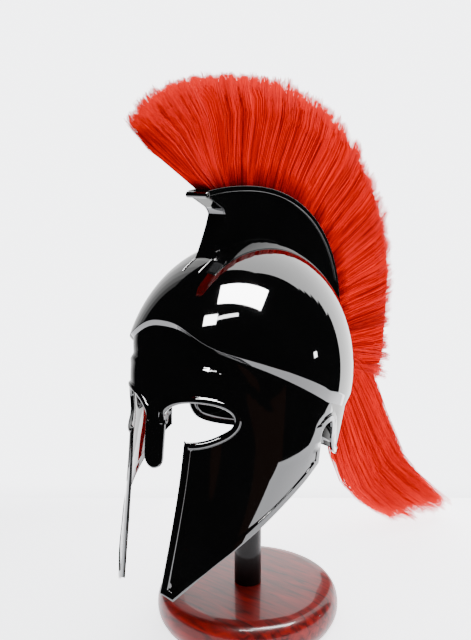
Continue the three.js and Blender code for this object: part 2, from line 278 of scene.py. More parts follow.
@dataclass(frozen=True)
class PolishedLacquer:
    """Sprayed and polished black lacquer: near mirror-bright, with a faint orange peel."""

    name: str = "black_polished_lacquer"
    colour: str = "#020202"
    dusty: str = "#050505"
    roughness: float = 0.02
    index: float = 1.75
    peel_mm: float = 16.0
    peel_height_mm: float = 0.02
    dust_mm: float = 45.0
    dulled: float = 0.035

    def material(self) -> Material:
        """Builds the lacquer: deep black, high gloss, slow waves left by spraying."""
        made, tree, shader = new_material(self.name, {"IOR": self.index})
        place = add_node(tree, "ShaderNodeTexCoord").outputs["Object"]
        waves = add_node(tree, "ShaderNodeTexNoise", {"Scale": 1000 / self.peel_mm, "Detail": 1.5},
                         {"Vector": place})
        dust = add_node(tree, "ShaderNodeTexNoise", {"Scale": 1000 / self.dust_mm, "Detail": 6.0},
                        {"Vector": place})
        tint = add_node(tree, "ShaderNodeMix",
                        {"data_type": "RGBA", 6: linear(self.colour), 7: linear(self.dusty)},
                        {0: dust.outputs["Fac"]})
        gloss = add_node(tree, "ShaderNodeMapRange",
                         {"From Min": 0.35, "From Max": 0.75, "To Min": self.roughness,
                          "To Max": self.roughness + self.dulled}, {"Value": dust.outputs["Fac"]})
        peel = add_node(tree, "ShaderNodeBump",
                        {"Strength": 0.6, "Distance": self.peel_height_mm * MM},
                        {"Height": waves.outputs["Fac"]})
        wire(tree, shader, {"Base Color": tint.outputs[2], "Roughness": gloss.outputs["Result"],
                            "Normal": peel.outputs["Normal"]})
        return made


@dataclass(frozen=True)
class DyedHair:
    """Dyed red bristle: bright along its length, darkened towards the root by painted shade where the
    holder shades it, paler at worn tips.
    """

    name: str = "red_dyed_bristle"
    deep: str = "#8c0302"
    bright: str = "#f00604"
    tip: str = "#fa1c10"
    root: str = "#4c0202"
    roughness: float = 0.6
    sheen: float = 0.06

    def shaded(self, name: str) -> tuple[Material, NodeTree, Node]:
        """A hair material without its colour: a soft, weak and red-tinted shine."""
        return new_material(name, {"Roughness": self.roughness, "Specular IOR Level": self.sheen,
                                   "Specular Tint": linear(self.tip)})

    def packed(self) -> Material:
        """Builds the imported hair's finish: fine strands that run from root to tip."""
        made, tree, shader = self.shaded(self.name + "_packed")
        shader.inputs["Specular IOR Level"].default_value = 0.0
        place = add_node(tree, "ShaderNodeCombineXYZ", links={"X": carried(tree, "strand"),
                                                             "Y": carried(tree, "reach")})
        fine = add_node(tree, "ShaderNodeTexNoise", {"Scale": 1.0, "Detail": 5.0, "Roughness": 0.7},
                        {"Vector": place.outputs["Vector"]}).outputs["Fac"]
        raised = add_node(tree, "ShaderNodeBump", {"Strength": 0.8, "Distance": 0.8 * MM},
                          {"Height": fine})
        body = colour_ramp(tree, fine, (0.34, self.root), (0.47, self.deep), (0.6, self.bright))
        wire(tree, shader, {"Base Color": body, "Normal": raised.outputs["Normal"]})
        return made

    def loose(self) -> Material:
        """Builds the hair's colour from the hair's own tone and how far along it a point is, with
        painted shade towards the root.
        """
        made, tree, shader = self.shaded(self.name)
        reach = carried(tree, "reach")
        body = colour_ramp(tree, carried(tree, "tone"), (0.0, self.deep), (0.45, self.bright))
        # Painted shade: the colour darkens towards the root, where the holder shades the hairs.
        root_shade = colour_ramp(tree, reach, (0.0, "#404040"), (0.3, "#ffffff"))
        shade = add_node(tree, "ShaderNodeMix",
                         {"data_type": "RGBA", "blend_type": "MULTIPLY", 0: 1.0}, {6: body, 7: root_shade})
        pale = add_node(tree, "ShaderNodeMapRange",
                        {"From Min": 0.8, "From Max": 1.0, "To Min": 0.0, "To Max": 0.5},
                        {"Value": reach})
        worn = add_node(tree, "ShaderNodeMix", {"data_type": "RGBA", 7: linear(self.tip)},
                        {0: pale.outputs["Result"], 6: shade.outputs[2]})
        wire(tree, shader, {"Base Color": worn.outputs[2]})
        return made


@dataclass(frozen=True)
class VarnishedWood:
    """Turned wood under thick gloss varnish: colour in the wood, a clear coat over it."""

    name: str
    dark: str
    light: str
    grain_mm: float = 9.0
    stretch: float = 7.0
    coat_roughness: float = 0.03
    coat: float = 1.0

    def material(self) -> Material:
        """Builds the wood: long grain along X under a smooth clear coat."""
        made, tree, shader = new_material(self.name, {
            "Roughness": 0.35, "Specular IOR Level": 0.1, "Coat Weight": self.coat,
            "Coat Roughness": self.coat_roughness, "Coat IOR": 1.5})
        place = add_node(tree, "ShaderNodeTexCoord")
        along = add_node(tree, "ShaderNodeMapping", {"Scale": (1 / self.stretch, 1.0, 1.0)},
                         {"Vector": place.outputs["Object"]})
        grain = add_node(tree, "ShaderNodeTexNoise",
                         {"Scale": 1000 / self.grain_mm, "Detail": 7.0, "Distortion": 0.8},
                         {"Vector": along.outputs["Vector"]})
        body = colour_ramp(tree, grain.outputs["Fac"], (0.3, self.dark), (0.72, self.light))
        wire(tree, shader, {"Base Color": body})
        return made


# ---------------------------------------------------------------- helmet form


@dataclass(frozen=True)
class Outline:
    """An edge of the sheet, with the width and height of the relief that follows it."""

    turn: np.ndarray
    z: np.ndarray
    width: np.ndarray
    height: np.ndarray

    def joined(self, other: Outline, skip: int = 1) -> Outline:
        """Puts another stretch of edge after this one, without its repeated first points."""
        names = ("turn", "z", "width", "height")
        return Outline(*(np.concatenate([getattr(self, n), getattr(other, n)[skip:]])
                         for n in names))


class Relief(Enum):
    """How the sheet is worked beside an edge: width and height in millimetres."""

    PLAIN = (2.0, 0.0)
    BORDER = (8.0, 1.2)
    EYE_RIM = (6.5, 2.4)


@dataclass(frozen=True)
class HelmetForm:
    """The helmet's outer surface, in millimetres."""

    y_mid: float = -5.5
    z_mid: float = 292.0
    half_width: float = 108.0
    front: float = 155.0
    back: float = 142.0
    rise: float = 149.0
    square: float = 2.05
    flat_turn: float = 0.68
    flat_spread: float = 0.26
    ridge_z: float = 276.0
    ridge_slope_front: float = 0.56
    ridge_slope_back: float = 0.36
    ridge_peak: float = 14.0
    ridge_peak_half: float = 42.0
    band_front: float = 6.5
    band_side: float = 12.5
    swell_out: float = 3.2
    swell_tall: float = 32.0
    swell_turn: float = 0.56
    swell_spread: float = 0.3
    levels: Table = Table(
        ("z", "half_front", "half_back", "y_wide", "y_front", "y_back", "square", "flat"),
        (
            (80, 72, 84, -62, -181, 90, 2.3, 0),
            (125, 91, 90, -46, -172, 92, 2.3, 0.03),
            (170, 101, 97, -30, -163.5, 98, 2.3, 0.06),
            (215, 106, 101, -18, -156, 102, 2.3, 0.07),
            (255, 106, 103, -8, -151.5, 112, 2.3, 0.065),
            (300, 105, 104, -6, -146, 128, 2.2, 0.045),
            (345, 101, 101, -6, -137, 132, 2.15, 0.015),
            (390, 92, 92, -6, -130, 122, 2.1, 0),
        ),
    )

    def face(self, turn: np.ndarray, z: np.ndarray, out: np.ndarray = 0.0) -> np.ndarray:
        """Points on the face and neck, below the ridge.

        Args:
            turn: Angle round the helmet, 0 at the face and pi at the nape.
            z: Height.
            out: How far the surface is grown outwards.

        Returns:
            One row of x, y and z for each point.
        """
        turn, z = np.broadcast_arrays(np.asarray(turn, float), np.asarray(z, float))

        def read(name: str) -> np.ndarray:
            return self.levels.read(name, z)

        to_back = smooth(np.abs(turn), 1.45, 1.8)
        half = read("half_front") * (1 - to_back) + read("half_back") * to_back + out
        y_wide = read("y_wide")
        length = np.where(np.abs(turn) < math.pi / 2,
                          y_wide - (read("y_front") - out), read("y_back") + out - y_wide)
        power = 2 / read("square")
        x = half * signed_power(np.sin(turn), power)
        y = -length * signed_power(np.cos(turn), power)
        hump = np.exp(-(((np.abs(turn) - self.flat_turn) / self.flat_spread) ** 2))
        k = 1 - read("flat") * hump
        return np.stack([x * k, y_wide + y * k, z], axis=-1)

    def crown(self, turn: np.ndarray, z: np.ndarray) -> np.ndarray:
        """Points on the crown, above the ridge, as face gives them."""
        turn, z = np.broadcast_arrays(np.asarray(turn, float), np.asarray(z, float))
        k = np.sqrt(np.maximum(0.0, 1 - ((z - self.z_mid) / self.rise) ** 2))
        length = np.where(np.abs(turn) < math.pi / 2, self.front, self.back) * k
        power = 2 / self.square
        x = self.half_width * k * signed_power(np.sin(turn), power)
        y = self.y_mid - length * signed_power(np.cos(turn), power)
        return np.stack([x, y, z], axis=-1)

    def ridge(self, turn: np.ndarray) -> np.ndarray:
        """Height of the ridge's lower line at a turn round the helmet."""
        z = np.full_like(np.asarray(turn, float), self.ridge_z)
        for _ in range(6):
            x, y = self.face(turn, z)[..., 0], self.face(turn, z)[..., 1]
            slope = np.where(y < 0, self.ridge_slope_front, self.ridge_slope_back)
            peak = np.where(y < 0, np.exp(-((np.abs(x) / self.ridge_peak_half) ** 3)), 0.0)
            z = z + 0.7 * (self.ridge_z - slope * y + self.ridge_peak * peak - z)
        return z

    def swell(self, turn: np.ndarray) -> np.ndarray:
        """How far the forehead is drawn out to meet the ridge, off the middle."""
        off_middle = (np.abs(turn) - self.swell_turn) / self.swell_spread
        return self.swell_out * np.exp(-(off_middle**2))

    def band(self, turn: np.ndarray) -> np.ndarray:
        """Height of the stepped band above the ridge's lower line."""
        k = smooth(np.abs(turn), 0.5, 1.7)
        return self.band_front + (self.band_side - self.band_front) * k

    def turn_at(self, axis: int, value: np.ndarray, z: np.ndarray, limit: float) -> np.ndarray:
        """Finds the turn where the face reaches a value of x (axis 0) or y (axis 1).

        Args:
            axis: Which coordinate is known.
            value: Its value at each point.
            z: Height of each point.
            limit: The largest turn to look at.

        Returns:
            The turn of each point, on the wearer's left.
        """
        low = np.zeros_like(np.asarray(value, float))
        high = np.full_like(low, limit)
        for _ in range(44):
            middle = (low + high) / 2
            under = self.face(middle, z)[..., axis] < value
            low, high = np.where(under, middle, low), np.where(under, high, middle)
        return (low + high) / 2


def bezier(points: Sequence[tuple[float, float]], step: float = 1.4) -> np.ndarray:
    """Points along a straight, quadratic or cubic Bezier stretch.

    Args:
        points: Two, three or four control points.
        step: Spacing of the points, in millimetres.

    Returns:
        The points, both ends included.
    """
    control = np.array(points, dtype=float)
    length = np.linalg.norm(np.diff(control, axis=0), axis=1).sum()
    t = np.linspace(0, 1, max(3, int(length / step)) + 1)[:, None]
    if len(control) == 2:
        return control[0] * (1 - t) + control[1] * t
    if len(control) == 3:
        a, b, c = control
        return a * (1 - t) ** 2 + 2 * b * t * (1 - t) + c * t**2
    a, b, c, d = control
    return a * (1 - t) ** 3 + 3 * b * t * (1 - t) ** 2 + 3 * c * t**2 * (1 - t) + d * t**3


@dataclass
class Sheet:
    """An open sheet: points in millimetres, faces, and the direction of each point."""

    points: np.ndarray
    faces: list
    normals: np.ndarray

    def joined(self, other: Sheet) -> Sheet:
        """Puts another sheet beside this one."""
        shift = len(self.points)
        return Sheet(np.concatenate([self.points, other.points]),
                     self.faces + [tuple(i + shift for i in f) for f in other.faces],
                     np.concatenate([self.normals, other.normals]))

    def walled(self, name: str, wall: float) -> Object:
        """Makes a closed object of the sheet by giving it an inner wall and edge strips.

        Args:
            name: The object's name.
            wall: Thickness in millimetres.

        Returns:
            The object, with every corner's direction set.
        """
        keys = np.round(self.points / 0.01).astype(np.int64)
        _, first, same = np.unique(keys, axis=0, return_index=True, return_inverse=True)
        same = same.reshape(-1)
        outer = self.points[first]
        inward = np.zeros_like(outer)
        np.add.at(inward, same, self.normals)
        inward /= np.linalg.norm(inward, axis=1, keepdims=True)
        count = len(outer)
        faces, corners, sides = [], [], {}
        for face in self.faces:
            ring = [int(same[i]) for i in face]
            faces.append(ring)
            corners.extend(self.normals[list(face)])
            sides.update(dict.fromkeys(zip(ring, ring[1:] + ring[:1])))
        for face in self.faces:
            faces.append([int(same[i]) + count for i in face[::-1]])
            corners.extend(-self.normals[list(face[::-1])])
        points = np.concatenate([outer, outer - wall * inward])
        strips = [(b, a, a + count, b + count) for a, b in sides if (b, a) not in sides]
        flat = {}
        for strip in strips:
            p = points[list(strip)]
            out = np.cross(p[2] - p[0], p[3] - p[1])
            flat[strip] = out / (np.linalg.norm(out) + 1e-12)
        shared: dict[int, list] = {}
        for strip, out in flat.items():
            for i in strip:
                shared.setdefault(i, []).append(out)
        for strip, out in flat.items():
            faces.append(list(strip))
            for i in strip:
                mean = np.sum([n for n in shared[i] if n @ out > 0.8], axis=0)
                corners.append(mean / np.linalg.norm(mean))
        made = piece_from(name, points, faces)
        made.data.normals_split_custom_set([tuple(n) for n in corners])
        return made


@dataclass
class Shell:
    """The sheet shell: crown, stepped ridge, face, nasal, cheek pieces and neck guard."""

    finish: Material
    form: HelmetForm = field(default_factory=HelmetForm)
    wall: float = 2.0
    stations: int = 300
    grid: float = 3.0
    crown_rows: int = 44
    radius: float = 112.0
    edge_round: float = 0.8
    corner_round: float = 1.3
    tip: tuple = ((-173, 107), (-167, 99))
    cheek_bow: tuple = (-116, 165.5)
    cheek_corner: tuple = (-15, 214)
    notch: tuple = (-13, 236, 9, 253, 14, 231)
    guard: tuple = (31, 209.5, 60, 199)
    nape_end: tuple = (112, 186)
    slit: tuple = ((35.5, 259), (32, 180), (24, 90))
    nasal_half: float = 12.5
    nasal_end: float = 224.5
    nasal_flare: float = 0.4
    guard_bends: tuple = ((18, 216), (43, 203))
    shoulder_run: float = 9.0
    eye: tuple = (40.8, 275.5, 28.6, 19.5)
    rim_fade: float = 14.0
    brow_raise: float = 3.8
    brow_foot: float = 7.0
    brow_fade: tuple = (16, 62)
    brow_sides: tuple = (74, 96)
    keel_raise: float = 0.9
    keel_half: float = 4.0
    keel_low: tuple = (322, 332)
    keel_high: tuple = (354, 366)
    bead_square: float = 2.6
    step_run: float = 1.6
    edge_rows: tuple = (0.3, 0.8, 1.8, 3.2, 4.7, 5.6, 6.4, 7.2, 8.0, 9.4)
    row_pitch: float = 0.87
    clear_of_edge: float = 11.0
    clear_of_seam: float = 2.2
    brow_line: Table = Table(
        ("x", "z"),
        ((0, 325), (10, 327), (24, 330), (46, 332), (67, 323), (78, 311), (90, 292), (104, 262)),
    )

    def stretch_in_front(self, points: np.ndarray, relief: Relief) -> Outline:
        """An edge drawn in the front view, as (x, z) points on the wearer's left."""
        turn = self.form.turn_at(0, points[:, 0], points[:, 1], 1.45)
        turn[points[:, 0] < 1e-6] = 0.0
        return self.with_relief(turn, points[:, 1], relief)

    def with_relief(self, turn: np.ndarray, z: np.ndarray, relief: Relief) -> Outline:
        """Gives a stretch of edge its relief."""
        width, height = relief.value
        return Outline(turn, z, np.full_like(turn, width), np.full_like(turn, height))

    def face_edge(self) -> Outline:
        """The edge from the nasal's tip round the eye and down the slit."""
        x, z, half_width, half_height = self.eye
        middle = self.nasal_end + self.nasal_half
        turn = np.linspace(-math.pi / 2, 0, 16)
        tip = np.stack([self.nasal_half * np.cos(turn), middle + self.nasal_half * np.sin(turn)], 1)
        tip[0, 0] = 0.0
        nasal_top = self.nasal_half + self.nasal_flare
        inner = math.acos((nasal_top - x) / half_width)
        side = bezier([tuple(tip[-1]), (nasal_top, z - half_height * math.sin(inner))])
        outer = math.acos((self.slit[0][0] - x) / half_width)
        sweep = np.linspace(TAU - inner, -outer, 84)
        ring = np.stack([x + half_width * np.cos(sweep), z + half_height * np.sin(sweep)], 1)
        down = bezier(self.slit)
        down = down[down[:, 1] < ring[-1, 1] - 0.3]
        down = np.concatenate([ring[-1:], down])
        place = self.form.face(self.form.turn_at(0, down[:, 0], down[:, 1], 1.45), down[:, 1])
        (y_a, z_a), (y_b, z_b) = self.tip
        line = z_a + (z_b - z_a) * np.clip((place[:, 1] - y_a) / (y_b - y_a), 0, 1)
        down = down[down[:, 1] > line]
        eye_rim = self.stretch_in_front(ring, Relief.EYE_RIM)
        run = np.concatenate([[0], np.cumsum(np.linalg.norm(np.diff(ring, axis=0), axis=1))])
        eye_rim.height[:] *= smooth(run, 0.0, self.rim_fade)
        return (
            self.stretch_in_front(tip, Relief.PLAIN)
            .joined(self.stretch_in_front(side, Relief.PLAIN))
            .joined(eye_rim)
            .joined(self.stretch_in_front(down, Relief.BORDER))
        )

    def lower_edge(self, x_start: float) -> Outline:
        """The edge from the cheek's tip back to the middle of the nape.

        Args:
            x_start: Half width of the slit at the tip, where this edge begins.

        Returns:
            The stretch of edge.
        """
        tip_a, tip_b = self.tip
        notch_front, z_front, y_top, z_top, notch_back, z_back = self.notch
        y_turn, z_turn, y_mid, z_mid = self.guard
        parts = [
            [tip_a, tip_b],
            [tip_b, self.cheek_bow, self.cheek_corner],
            [self.cheek_corner, (notch_front, z_front)],
            [(notch_front, z_front), (notch_front, z_top), (y_top - self.shoulder_run, z_top),
             (y_top, z_top)],
            [(y_top, z_top), (notch_back, z_top), (notch_back, z_back)],
            [(notch_back, z_back), self.guard_bends[0], (y_turn, z_turn)],
            [(y_turn, z_turn), self.guard_bends[1], (y_mid, z_mid)],
        ]
        points = bezier(parts[0], 0.8)
        for part in parts[1:]:
            points = np.concatenate([points, bezier(part)[1:]])
        turn = self.form.turn_at(1, points[:, 0], points[:, 1], math.pi)
        x = self.form.face(turn, points[:, 1])[:, 0]
        near_tip = points[:, 1] < self.tip[0][1] + 1
        keep = ~near_tip | (x > x_start + 0.4)
        side = self.with_relief(turn[keep], points[keep, 1], Relief.BORDER)
        turn = np.linspace(side.turn[-1], math.pi, 90)
        z = np.full_like(turn, z_mid)
        (y_end, z_end) = self.nape_end
        for _ in range(12):
            y = self.form.face(turn, z)[:, 1]
            z = z_mid + (z_end - z_mid) * (y - y_mid) / (y_end - y_mid)
        z[0] = side.z[-1]
        return side.joined(self.with_relief(turn, z, Relief.BORDER))

    def half_edge(self) -> Outline:
        """The whole edge on the wearer's left, from the nasal's tip to the nape."""
        front = self.face_edge()
        x_tip = float(self.form.face(front.turn[-1:], front.z[-1:])[0, 0])
        return front.joined(self.lower_edge(x_tip), skip=0)

    def whole_edge(self) -> Outline:
        """The edge of both sides, from the nape on the right round to the nape on the left."""
        left = self.half_edge()
        turn = np.concatenate([-left.turn[:0:-1], left.turn])
        rest = (np.concatenate([v[:0:-1], v]) for v in (left.z, left.width, left.height))
        return Outline(turn, *rest)

    def slopes(self, turn: np.ndarray, z: np.ndarray) -> tuple[np.ndarray, np.ndarray]:
        """How a point of the surface moves with the flat map's two directions."""
        step = 1e-3
        across = (self.form.face(turn + step, z) - self.form.face(turn - step, z))
        upward = (self.form.face(turn, z + step) - self.form.face(turn, z - step))
        return across / (2 * step * self.radius), upward / (2 * step)

    def offset_rows(self, edge: Outline, distances: Iterable[float]) -> np.ndarray:
        """Points in rows beside the edge, on the metal's side, in the flat map.

        Args:
            edge: The whole edge.
            distances: How far each row is from the edge, in millimetres.

        Returns:
            The rows' points in the flat map.
        """
        place = self.form.face(edge.turn, edge.z)
        along = np.gradient(place, axis=0)
        along /= np.linalg.norm(along, axis=1, keepdims=True) + 1e-9
        across, upward = self.slopes(edge.turn, edge.z)
        out = np.cross(across, upward)
        out /= np.linalg.norm(out, axis=1, keepdims=True)
        inward = np.cross(out, along)
        g = np.array([[(across**2).sum(1), (across * upward).sum(1)],
                      [(across * upward).sum(1), (upward**2).sum(1)]]).transpose(2, 0, 1)
        side = np.stack([(inward * across).sum(1), (inward * upward).sum(1)], 1)
        move = np.linalg.solve(g, side[..., None])[..., 0]
        flat = np.stack([edge.turn * self.radius, edge.z], 1)
        return np.concatenate([flat + move * d for d in distances])

    def nearest(self, edge: Outline, place: np.ndarray) -> tuple[np.ndarray, np.ndarray]:
        """Distance from each point to the edge, and where along it the nearest point is."""
        dense = [np.interp(np.linspace(0, len(edge.z) - 1, 4 * len(edge.z)),
                           np.arange(len(edge.z)), v) for v in (edge.turn, edge.z)]
        tree = kdtree.KDTree(len(dense[0]))
        for i, point in enumerate(self.form.face(*dense)):
            tree.insert(point, i)
        tree.balance()
        found = [tree.find(p) for p in place]
        index = np.array([f[1] for f in found]) * (len(edge.z) - 1) / (len(dense[0]) - 1)
        return np.array([f[2] for f in found]), np.round(index).astype(int)

    def raised(self, edge: Outline, turn: np.ndarray, z: np.ndarray) -> np.ndarray:
        """How far the sheet is worked outwards at each point of the face and neck."""
        place = self.form.face(turn, z)
        gap, index = self.nearest(edge, place)
        width, height = edge.width[index], edge.height[index]
        bead = np.sqrt(np.maximum(0, 1 - np.abs(2 * gap / width - 1) ** self.bead_square))
        step = 1 - smooth(gap, width - self.step_run, width)
        worked = height * np.where(width < Relief.BORDER.value[0], bead, step)
        turned_in = np.sqrt(np.maximum(0, 1 - (1 - np.clip(gap / self.edge_round, 0, 1)) ** 2))
        x = np.abs(place[:, 0])
        line = self.brow_line.read("z", x)
        under = smooth(line - z, 0, self.brow_foot) * (1 - smooth(line - z, *self.brow_fade))
        under = under * (1 - smooth(x, *self.brow_sides))
        front = place[:, 1] < -60
        keel = np.exp(-((x / self.keel_half) ** 2)) * smooth(z, *self.keel_low)
        keel = keel * (1 - smooth(z, *self.keel_high))
        shaped = front * (self.brow_raise * under + self.keel_raise * keel)
        below = self.form.ridge(turn) - z
        swell = self.form.swell(turn) * (1 - smooth(below, 0, self.form.swell_tall))
        return worked + shaped + swell - self.edge_round * (1 - turned_in)

    def inside(self, loop: np.ndarray, points: np.ndarray) -> np.ndarray:
        """True for each point that lies within a closed loop of the flat map."""
        answer = np.zeros(len(points), dtype=bool)
        px, py = points[:, 0], points[:, 1]
        for (ax, ay), (bx, by) in zip(loop, np.roll(loop, -1, axis=0)):
            if ay == by:
                continue
            crosses = (ay > py) != (by > py)
            answer ^= crosses & (px < (bx - ax) * (py - ay) / (by - ay) + ax)
        return answer

    def flat_fill(self, edge: Outline, top: np.ndarray, loop: np.ndarray) -> np.ndarray:
        """Points inside the flat map: rows beside the edge, and a grid over the rest.

        Args:
            edge: The whole edge.
            top: The ridge's points in the flat map.
            loop: The closed loop round the flat map.

        Returns:
            The rows' points, then the grid's.
        """
        u = np.arange(-math.pi * self.radius, math.pi * self.radius, self.grid)
        v = np.arange(edge.z.min(), top[:, 1].max(), self.grid * self.row_pitch)
        fill = np.array([(a + (j % 2) * self.grid / 2, b) for j, b in enumerate(v) for a in u])
        rows = self.offset_rows(edge, self.edge_rows)
        wanted = np.repeat(self.edge_rows, len(edge.z))
        rows_ok = self.inside(loop, rows)
        rows, wanted = rows[rows_ok], wanted[rows_ok]
        gap, _ = self.nearest(edge, self.form.face(rows[:, 0] / self.radius, rows[:, 1]))
        rows = rows[gap > wanted - 0.15]
        fill = fill[self.inside(loop, fill)]
        gap, _ = self.nearest(edge, self.form.face(fill[:, 0] / self.radius, fill[:, 1]))
        below = np.interp(fill[:, 0], top[:, 0], top[:, 1]) - fill[:, 1]
        at_seam = math.pi * self.radius - np.abs(fill[:, 0])
        clear = (gap > self.clear_of_edge) & (below > self.clear_of_seam)
        fill = fill[clear & (at_seam > self.clear_of_seam)]
        rows = rows[(np.interp(rows[:, 0], top[:, 0], top[:, 1]) - rows[:, 1] > 1)
                    & (math.pi * self.radius - np.abs(rows[:, 0]) > 0.8)]
        return np.concatenate([rows, fill])

    def lower_part(self, turns: np.ndarray, ridge: np.ndarray) -> Sheet:
        """The sheet below the ridge, in triangles that follow its edges.

        Args:
            turns: Turn of each station along the ridge, from -pi to pi.
            ridge: Height of the ridge at each station.

        Returns:
            The sheet.
        """
        edge = self.whole_edge()
        top = np.stack([turns * self.radius, ridge], 1)
        low = np.stack([edge.turn * self.radius, edge.z], 1)
        heights = np.linspace(low[-1, 1], top[-1, 1], 14)[1:-1]
        seam = np.stack([np.full_like(heights, math.pi * self.radius), heights], 1)
        loop = np.concatenate([low, seam, top[::-1], (seam * [-1, 1])[::-1]])
        points = np.concatenate([loop, self.flat_fill(edge, top, loop)])
        around = [(i, (i + 1) % len(loop)) for i in range(len(loop))]
        made = geometry.delaunay_2d_cdt([Vector(p) for p in points], around, [], 0, 1e-4)
        flat = np.array([points[known[0]] if known else tuple(p)
                         for p, known in zip(made[0], made[3])])
        faces = np.array([list(f) for f in made[2]])
        faces = faces[self.inside(loop, flat[faces].mean(axis=1))]
        turn, z = flat[:, 0] / self.radius, flat[:, 1]

        def worked(turn_by: float, z_by: float) -> np.ndarray:
            t, h = turn + turn_by / self.radius, z + z_by
            return self.form.face(t, h, self.raised(edge, t, h))

        step = 0.3
        normals = np.cross(worked(step, 0) - worked(-step, 0), worked(0, step) - worked(0, -step))
        normals /= np.linalg.norm(normals, axis=1, keepdims=True)
        return Sheet(worked(0, 0), faces.tolist(), normals)

    def upper_part(self, turns: np.ndarray, ridge: np.ndarray) -> Sheet:
        """The sheet of the stepped band and the crown above it, in rings."""
        low = self.form.face(turns, ridge, self.form.swell(turns))
        start = ridge + self.form.band(turns)
        corner = self.form.crown(turns, start)
        start = start + self.corner_round
        high = self.form.crown(turns, start)
        foot = 1 - self.corner_round / np.linalg.norm(corner - low, axis=1, keepdims=True)
        turned = low + (corner - low) * foot
        rings = [low + (turned - low) * k for k in (0, 0.05, 0.3, 0.6, 0.9)]
        for k in (0, 0.2, 0.4, 0.6, 0.8):
            rings.append(turned * (1 - k) ** 2 + corner * 2 * k * (1 - k) + high * k**2)
        climb_from = np.arcsin((start - self.form.z_mid) / self.form.rise)
        for j in range(self.crown_rows):
            k = (j / self.crown_rows) ** 0.92
            climb = climb_from * (1 - k) + math.pi / 2 * k
            rings.append(self.form.crown(turns, self.form.z_mid + self.form.rise * np.sin(climb)))
        size = len(turns)
        points = np.concatenate(rings + [[[0, self.form.y_mid, self.form.z_mid + self.form.rise]]])
        faces = [(j * size + i, j * size + i + 1, (j + 1) * size + i + 1, (j + 1) * size + i)
                 for j in range(len(rings) - 1) for i in range(size - 1)]
        last = (len(rings) - 1) * size
        faces += [(last + i, last + i + 1, len(points) - 1) for i in range(size - 1)]
        normals = np.zeros_like(points)
        for corner in range(3):
            root_shade = np.array([[f[corner - 1], f[corner], f[(corner + 1) % 3]] for f in faces])
            across = np.cross(points[root_shade[:, 2]] - points[root_shade[:, 1]],
                              points[root_shade[:, 0]] - points[root_shade[:, 1]])
            for vertex in np.array([f[:3] for f in faces]).T:
                np.add.at(normals, vertex, across)
        seam = np.arange(len(rings)) * size
        both = normals[seam] + normals[seam + size - 1]
        normals[seam], normals[seam + size - 1] = both, both
        normals /= np.linalg.norm(normals, axis=1, keepdims=True)
        return Sheet(points, faces, normals)

    def build(self) -> Object:
        """Builds the shell as one closed sheet, with its true surface directions."""
        turns = np.linspace(-math.pi, math.pi, self.stations + 1)
        ridge = self.form.ridge(turns)
        low = self.lower_part(turns, ridge)
        high = self.upper_part(turns, ridge)
        made = low.joined(high).walled("helmet_shell_sheet", self.wall)
        mount(made, self.finish, "lacquered_shell", "helmet_shell")
        return made


# ---------------------------------------------------------------- crest holder


